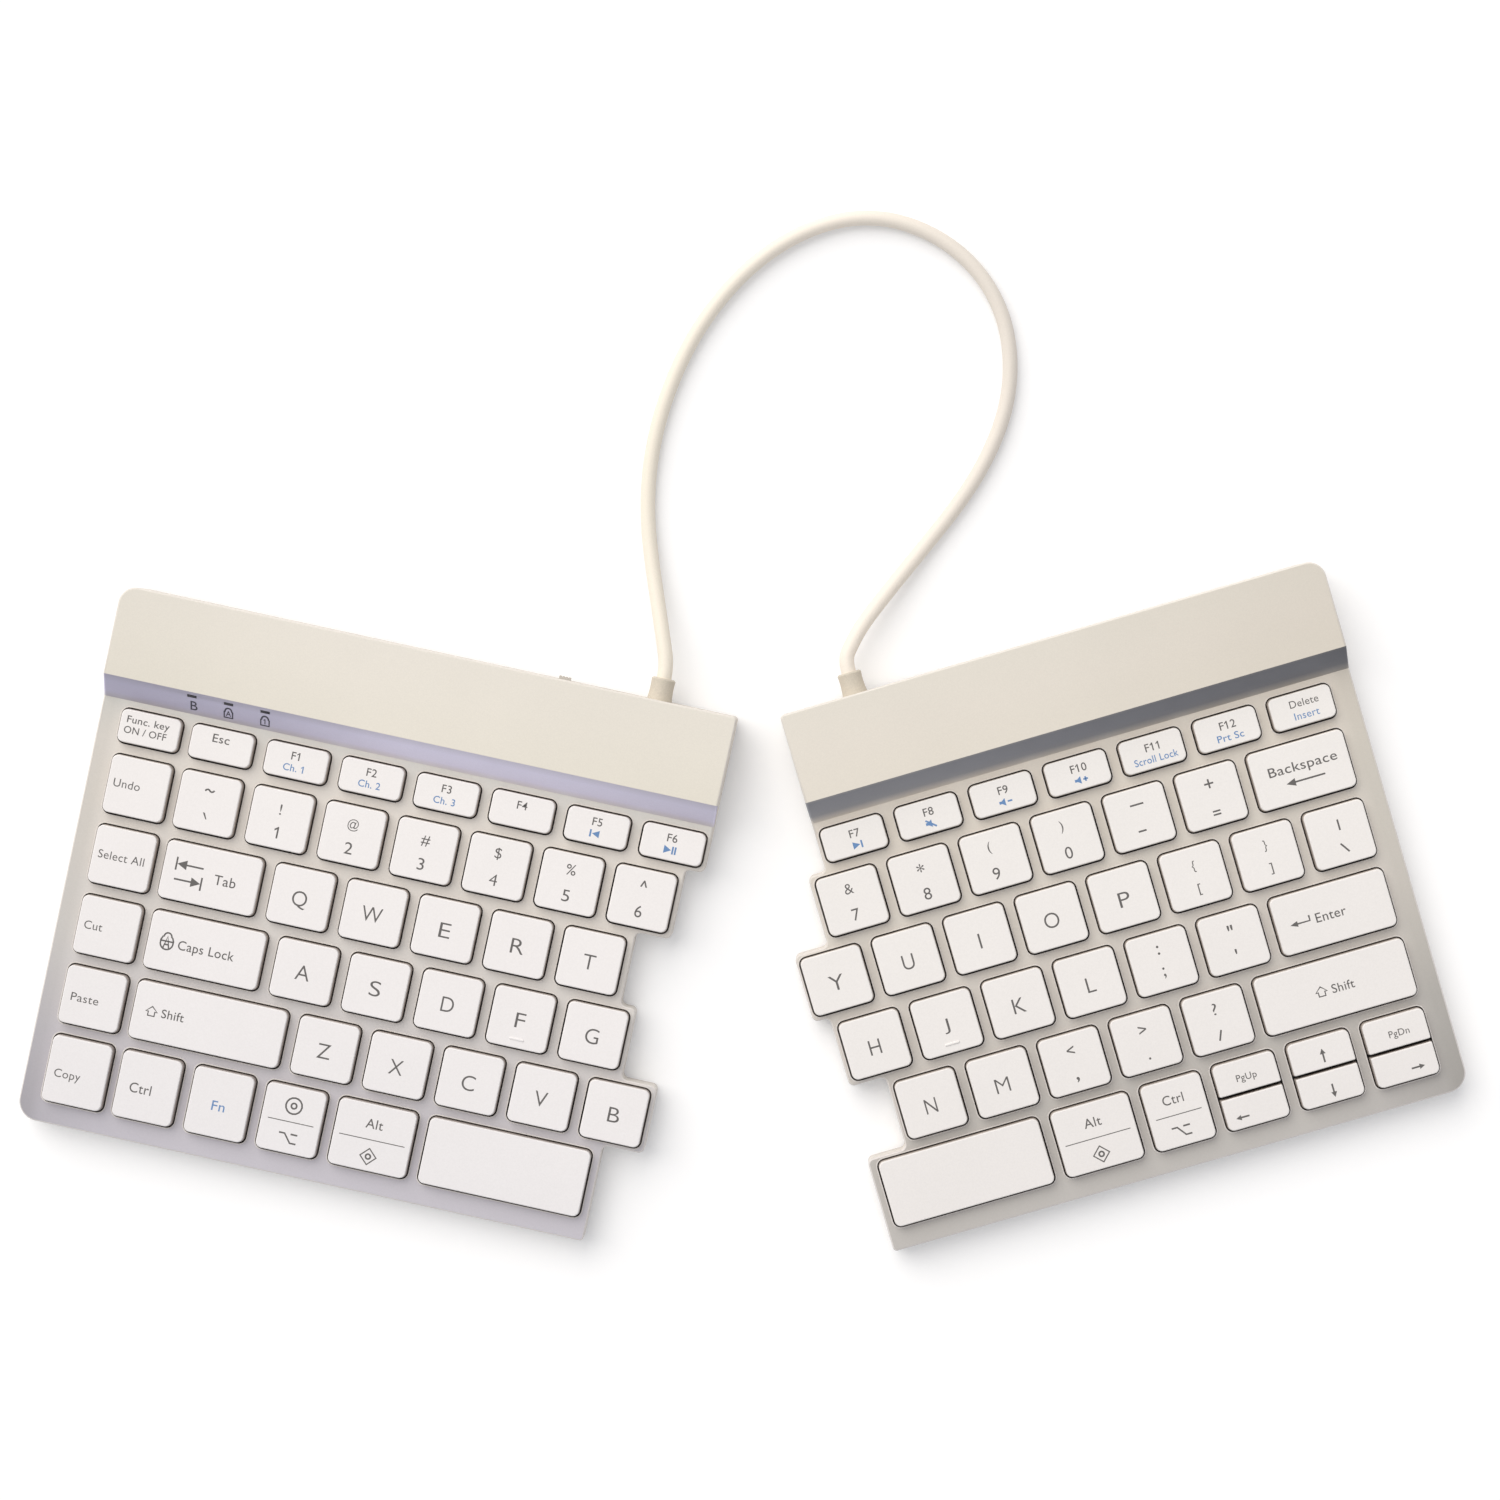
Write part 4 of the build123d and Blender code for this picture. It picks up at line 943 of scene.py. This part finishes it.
def capBoxes(name, side):
    # lowest and highest corner of each cap of a key node, from left to right, then from rear to front
    bm = drawnCopy(name, side)
    boxes = [extent([v.co for face in group for v in face.verts]) for group in islands(bm)]
    bm.free()
    return sorted(boxes, key=lambda b: (round(b[0][0]), -b[0][1]))


def bevelEdges(bm, edges, offset, steps):
    bmesh.ops.bevel(
        bm, geom=edges, offset=offset, offset_type="OFFSET", segments=steps, profile=0.5, affect="EDGES",
        material=-1,
    )


def upright(bm, test):
    # upright edges whose x passes the test
    found = []
    for edge in bm.edges:
        a, b = (v.co for v in edge.verts)
        if (a.xy - b.xy).length < keycap["tolerance"] and test(a.x):
            found.append(edge)
    return found


def buildCap(name, box, homeBar):
    (x0, y0, z0), (x1, y1, _) = box
    width, depth, height = x1 - x0, y1 - y0, keycap["top"] - z0
    smallSteps, nearTop = keycap["smallSteps"], keycap["top"] - keycap["topTolerance"]
    bm = bmesh.new()
    bmesh.ops.create_cube(bm, size=1)
    bmesh.ops.scale(bm, vec=(width, depth, height), verts=bm.verts)
    bmesh.ops.translate(bm, vec=(0, 0, z0 + height / 2), verts=bm.verts)
    floor = min(bm.faces, key=lambda face: face.calc_center_median().z)
    bmesh.ops.inset_region(bm, faces=[floor], thickness=keycap["wall"], use_even_offset=True)
    hollow = bmesh.ops.extrude_discrete_faces(bm, faces=[floor])["faces"]
    bmesh.ops.translate(bm, vec=(0, 0, keycap["ceiling"] - z0), verts=hollow[0].verts)
    # corners: the facing corners of a pair in one well are tighter
    midWall = width / 2 - keycap["wall"] / 2
    outer = upright(bm, lambda x: abs(x) > midWall)
    inner = upright(bm, lambda x: abs(x) <= midWall)
    tight = []
    if name in rearHalfKeys:
        tight = [edge for edge in outer if edge.verts[0].co.y < 0]
    if name in frontHalfKeys:
        tight = [edge for edge in outer if edge.verts[0].co.y > 0]
    wide = [edge for edge in outer if edge not in tight]
    bevelEdges(bm, wide, keycap["corner"], keycap["cornerSteps"])
    tight = [edge for edge in tight if edge.is_valid]
    if tight:
        bevelEdges(bm, tight, keycap["pairCorner"], smallSteps)
    bevelEdges(bm, [edge for edge in inner if edge.is_valid], keycap["innerCorner"], smallSteps)
    lean = height * math.tan(math.radians(keycap["taper"]))
    crown = [v for v in bm.verts if v.co.z > nearTop]
    bmesh.ops.scale(bm, vec=(1 - 2 * lean / width, 1 - 2 * lean / depth, 1), verts=crown)
    bmesh.ops.translate(bm, vec=(0, keycap["crownRearward"], 0), verts=crown)
    rim = [edge for edge in bm.edges if all(v.co.z > nearTop for v in edge.verts)]
    bevelEdges(bm, rim, keycap["edgeRound"], keycap["edgeSteps"])
    stem = bmesh.new()
    stemTop = keycap["ceiling"] + keycap["stemOverlap"]
    bmesh.ops.create_cone(
        stem, cap_ends=True, segments=keycap["stemSides"], radius1=keycap["stemRadius"],
        radius2=keycap["stemRadius"], depth=stemTop - keycap["stemFoot"],
    )
    bmesh.ops.translate(stem, vec=(0, 0, (stemTop + keycap["stemFoot"]) / 2), verts=stem.verts)
    addBmesh(bm, stem)
    if homeBar:
        length, breadth, rise = keycap["homeBar"]
        bar = bmesh.new()
        bmesh.ops.create_cube(bar, size=1)
        bmesh.ops.scale(bar, vec=(length, breadth, 2 * rise), verts=bar.verts)
        bevelEdges(bar, bar.edges[:], keycap["homeBarRound"], smallSteps)
        barY = keycap["homeBarFromFront"] - depth / 2
        bmesh.ops.translate(bar, vec=(0, barY, keycap["top"]), verts=bar.verts)
        addBmesh(bm, bar)
    bmesh.ops.translate(bm, vec=((x0 + x1) / 2, (y0 + y1) / 2, 0), verts=bm.verts)
    return bm


wells = {side: [] for side in sides}


def makeKeycaps(side):
    materials = [finishes[side][slot] for slot in ("cap", "inkGrey", "inkBlue")]
    for name in keyNames[side]:
        bm = bmesh.new()
        boxes = capBoxes(name, side)
        for index, (box, entries) in enumerate(zip(boxes, legends[name], strict=True)):
            addBmesh(bm, buildCap(name, box, keycap["homeKeys"].get(name) == index))
            (x0, y0, _), (x1, y1, _) = box
            addLegend(bm, entries, (x0 + x1) / 2, (y0 + y1) / 2, keycap["top"])
            wells[side].append((name, x0, y0, x1, y1))
        piece = meshPiece(name + "_cap", bm, materials, halfPlace(side))
        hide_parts(name)
        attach(piece, name)


for side in sides:
    makeKeycaps(side)
    print(side, "keycaps made")


# What carries each key: scissor frames, domes and wires, gathered into one piece for each key


def makeSupports(side):
    sources = [(side + "_scissor_frames", 0), (side + "_rubber_domes", 1), (side + "_stabiliser_wires", 2)]
    materials = [finishes[side][slot] for slot in ("scissor", "dome_rubber", "wire")]
    carried = {name: bmesh.new() for name in keyNames[side]}
    for node, slotIndex in sources:
        whole = drawnCopy(node, side)
        for group in islands(whole):
            low, high = extent([v.co for face in group for v in face.verts])
            x, y = (low[0] + high[0]) / 2, (low[1] + high[1]) / 2
            name = min(wells[side], key=lambda w: max(w[1] - x, x - w[3], 0) + max(w[2] - y, y - w[4], 0))[0]
            corners = {}
            for face in group:
                for vertex in face.verts:
                    if vertex.index not in corners:
                        corners[vertex.index] = carried[name].verts.new(vertex.co)
                carried[name].faces.new([corners[v.index] for v in face.verts]).material_index = slotIndex
        whole.free()
    for name, bm in carried.items():
        piece = meshPiece("supports_" + name, bm, materials, halfPlace(side))
        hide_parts(*[node for node, _ in sources])
        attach(piece, side + "_half")
        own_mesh(piece)


for side in sides:
    makeSupports(side)
    print(side, "supports made")


# Top covers: the CAD shell with a moulded rim round each well and the printed indicator signs

cover = {
    "capGap": 0.4,
    "wellCorner": 2.0,
    "rimWidth": 0.3,
    "rimHeight": 0.08,
    "rimOverlap": 0.1,
    "rimSteps": 5,
    "rimRoundness": 2,
    "pairNear": (0.5, 1.5),
    "signs": [(-8.6, "B"), (0.55, "A"), (10.15, "1")],
    "signY": 5.5,
    "signHeight": 2.3,
    "signStretch": 0.9864,
    "signRise": 0.01,
    "lockText": 1.35,
    "lockTextY": -0.15,
    "near": 0.1,
    "flatLean": 0.97,
    "levelLean": 0.9999,
    "bandLean": 0.2,
    "bandDepth": 0.7,
    "lipLean": 0.05,
    "lipDepth": 1.5,
    "aboveAll": 50,
}
coverSlots = ("deck", "bar", "band", "lip", "side", "inkDark")


def wellOutlines(side):
    # the wells, with the caps that share one taken together
    outlines = []
    nearX, nearY = cover["pairNear"]
    for name, x0, y0, x1, y1 in wells[side]:
        match = [o for o in outlines if abs(o[0] - x0) < nearX and abs(o[1] - y1) < nearY]
        if match and name in frontHalfKeys:
            match[0][1] = y0
        else:
            outlines.append([x0, y0, x1, y1])
    gap = cover["capGap"]
    return [(x0 - gap, y0 - gap, x1 + gap, y1 + gap) for x0, y0, x1, y1 in outlines]


def rimMesh(x0, y0, x1, y1):
    # a low round lip along the edge of one well
    half = cover["rimWidth"] / 2
    radius = cover["wellCorner"] + half
    outward = half - cover["rimOverlap"]
    left, right, low, high = x0 - outward, x1 + outward, y0 - outward, y1 + outward
    corners = [
        (right - radius, high - radius, 0), (left + radius, high - radius, 90),
        (left + radius, low + radius, 180), (right - radius, low + radius, 270),
    ]
    points = [p for x, y, turn in corners for p in arc(x, y, radius, turn, turn + 90, cover["rimSteps"])]
    curve = polyCurve("rim", "3D", points)
    curve.bevel_depth = half
    curve.bevel_resolution = cover["rimRoundness"]
    mesh = curveMesh(curve)
    onDeck = Matrix.Translation((0, 0, layout["deckTop"]))
    mesh.transform(onDeck @ Matrix.Diagonal((1, 1, cover["rimHeight"] / half, 1)))
    return mesh


def coverSlot(face):
    # which finish a face of the cover has, by where it is and how it leans: the band's slope takes the
    # painted reflection and shade, the rounds the lip's painted highlight
    _, y, z = face.calc_center_median()
    lean, near, belowDeck = face.normal.z, cover["near"], layout["deckTop"] - z
    if lean > cover["flatLean"] and z > layout["barTop"] - near:
        return "bar"
    if lean > cover["flatLean"] and belowDeck < near:
        return "deck"
    onBand = layout["bandFront"] - near < y < layout["bandRear"] + near
    if onBand and belowDeck < cover["bandDepth"] and lean > cover["bandLean"]:
        return "band"
    if lean > cover["lipLean"] and belowDeck < cover["lipDepth"]:
        return "lip"
    return "side"


def onSurface(tree, mesh, rise):
    # lets a flat mesh down onto the surface under it, keeping its thickness
    for vertex in mesh.vertices:
        hit = tree.ray_cast(Vector((vertex.co.x, vertex.co.y, cover["aboveAll"])), Vector((0, 0, -1)))[0]
        vertex.co.z += hit.z + rise


def makeCover(side):
    bm = drawnCopy(side + "_top_cover", side)
    for face in bm.faces:
        face.material_index = coverSlots.index(coverSlot(face))
    surface = BVHTree.FromBMesh(bm)
    for outline in wellOutlines(side):
        # the rims take the lip finish, whose pale tone is a painted highlight
        addMesh(bm, rimMesh(*outline), coverSlots.index("lip"))
    if side == "left":
        for x, text in cover["signs"]:
            stretch = Matrix.Diagonal((1, cover["signStretch"], 1, 1))
            place = Matrix.Translation((x, cover["signY"], 0)) @ stretch
            flat = bmesh.new()
            if text == "B":
                addMesh(flat, textMesh(text, cover["signHeight"]), 0, place)
            else:
                addMark(flat, "lockBody", place, 0, 1.0, ink["outline"])
                inBody = place @ Matrix.Translation((0, cover["lockTextY"], 0))
                addMesh(flat, textMesh(text, cover["lockText"]), 0, inBody)
            mesh = bpy.data.meshes.new("sign")
            flat.to_mesh(mesh)
            flat.free()
            onSurface(surface, mesh, cover["signRise"])
            addMesh(bm, mesh, coverSlots.index("inkDark"))
    materials = [finishes[side][slot] for slot in coverSlots]
    piece = meshPiece(side + "_cover_shell", bm, materials, halfPlace(side))
    for face in piece.data.polygons:
        if face.normal.z > cover["levelLean"]:
            face.use_smooth = False  # the flat deck and bar take no shading from the rounds beside them
    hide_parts(side + "_top_cover")
    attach(piece, side + "_half")


for side in sides:
    makeCover(side)
    print(side, "cover made")


# The CAD nodes that stay as they are get their finish

def dressNodes():
    hidden = ("_scissor_frames", "_rubber_domes", "_stabiliser_wires", "_top_cover")
    slots = {entry["node"]: entry["material_slot"] for entry in frame["record"]["subparts"]}
    rightNodes = set(frame["record"]["behaviour"]["bodies"]["right_half"]) | set(keyNames["right"])
    for name, node in frame["nodes"].items():
        if name.endswith(hidden):
            continue
        side = "right" if name in rightNodes else "left"
        finish = "cap" if slots[name] == "keycap" else slots[name]
        node.data.materials.clear()
        node.data.materials.append(finishes[side][finish])


dressNodes()
print("nodes dressed")


# Floor, lamp and surroundings

studio = {
    "floorSize": 6.0,
    "floorColour": (244, 244, 244),
    "floorGlow": 0.16,
    "sunTurn": (-36, -32, 0),
    "sunStrength": 2.25,
    "sunAngle": 62,
    "sunColour": (254, 250, 245),
    "skyColour": (247, 248, 252),
    "skyStrength": 0.55,
}


def seenDirectly(tree):
    # 1 for rays that show the background itself, in a mirror or through glass as well
    path = newNode(tree, "ShaderNodeLightPath", {})
    seen = path.outputs["Is Camera Ray"]
    for name in ("Is Glossy Ray", "Is Transmission Ray"):
        either = newNode(tree, "ShaderNodeMath", {0: seen, 1: path.outputs[name]}, "MAXIMUM")
        seen = either.outputs["Value"]
    return seen


def makeFloor():
    bm = bmesh.new()
    bmesh.ops.create_grid(bm, x_segments=1, y_segments=1, size=studio["floorSize"] / 2)
    mesh = bpy.data.meshes.new("studio_floor")
    bm.to_mesh(mesh)
    bm.free()
    material = bpy.data.materials.new("paleFloor")
    tree = emptyTree(material)
    diffuse = newNode(tree, "ShaderNodeBsdfDiffuse", {"Color": linear(studio["floorColour"])})
    scale = newNode(tree, "ShaderNodeMath", {0: seenDirectly(tree), 1: studio["floorGlow"]}, "MULTIPLY")
    glow = newNode(tree, "ShaderNodeEmission", {"Strength": scale.outputs["Value"]})
    both = newNode(tree, "ShaderNodeAddShader", {0: diffuse.outputs["BSDF"], 1: glow.outputs["Emission"]})
    newNode(tree, "ShaderNodeOutputMaterial", {"Surface": both.outputs["Shader"]})
    mesh.materials.append(material)
    floor = newObject("studio_floor", mesh)


def makeLight():
    lamp = bpy.data.lights.new("key_lamp", "SUN")
    lamp.energy = studio["sunStrength"]
    lamp.angle = math.radians(studio["sunAngle"])
    lamp.color = linear(studio["sunColour"])[:3]
    holder = newObject("key_lamp", lamp)
    holder.rotation_euler = Euler([math.radians(a) for a in studio["sunTurn"]])
    world = bpy.data.worlds.new("studio")
    bpy.context.scene.world = world
    tree = emptyTree(world)
    fill, white = (
        newNode(tree, "ShaderNodeBackground", {"Color": colour, "Strength": strength}).outputs["Background"]
        for colour, strength in ((linear(studio["skyColour"]), studio["skyStrength"]), ((1, 1, 1, 1), 1))
    )
    mix = newNode(tree, "ShaderNodeMixShader", {"Fac": seenDirectly(tree), 1: fill, 2: white})
    newNode(tree, "ShaderNodeOutputWorld", {"Surface": mix.outputs["Shader"]})


makeFloor()
makeLight()
bpy.context.scene.view_settings.view_transform = "Standard"
print("studio made")
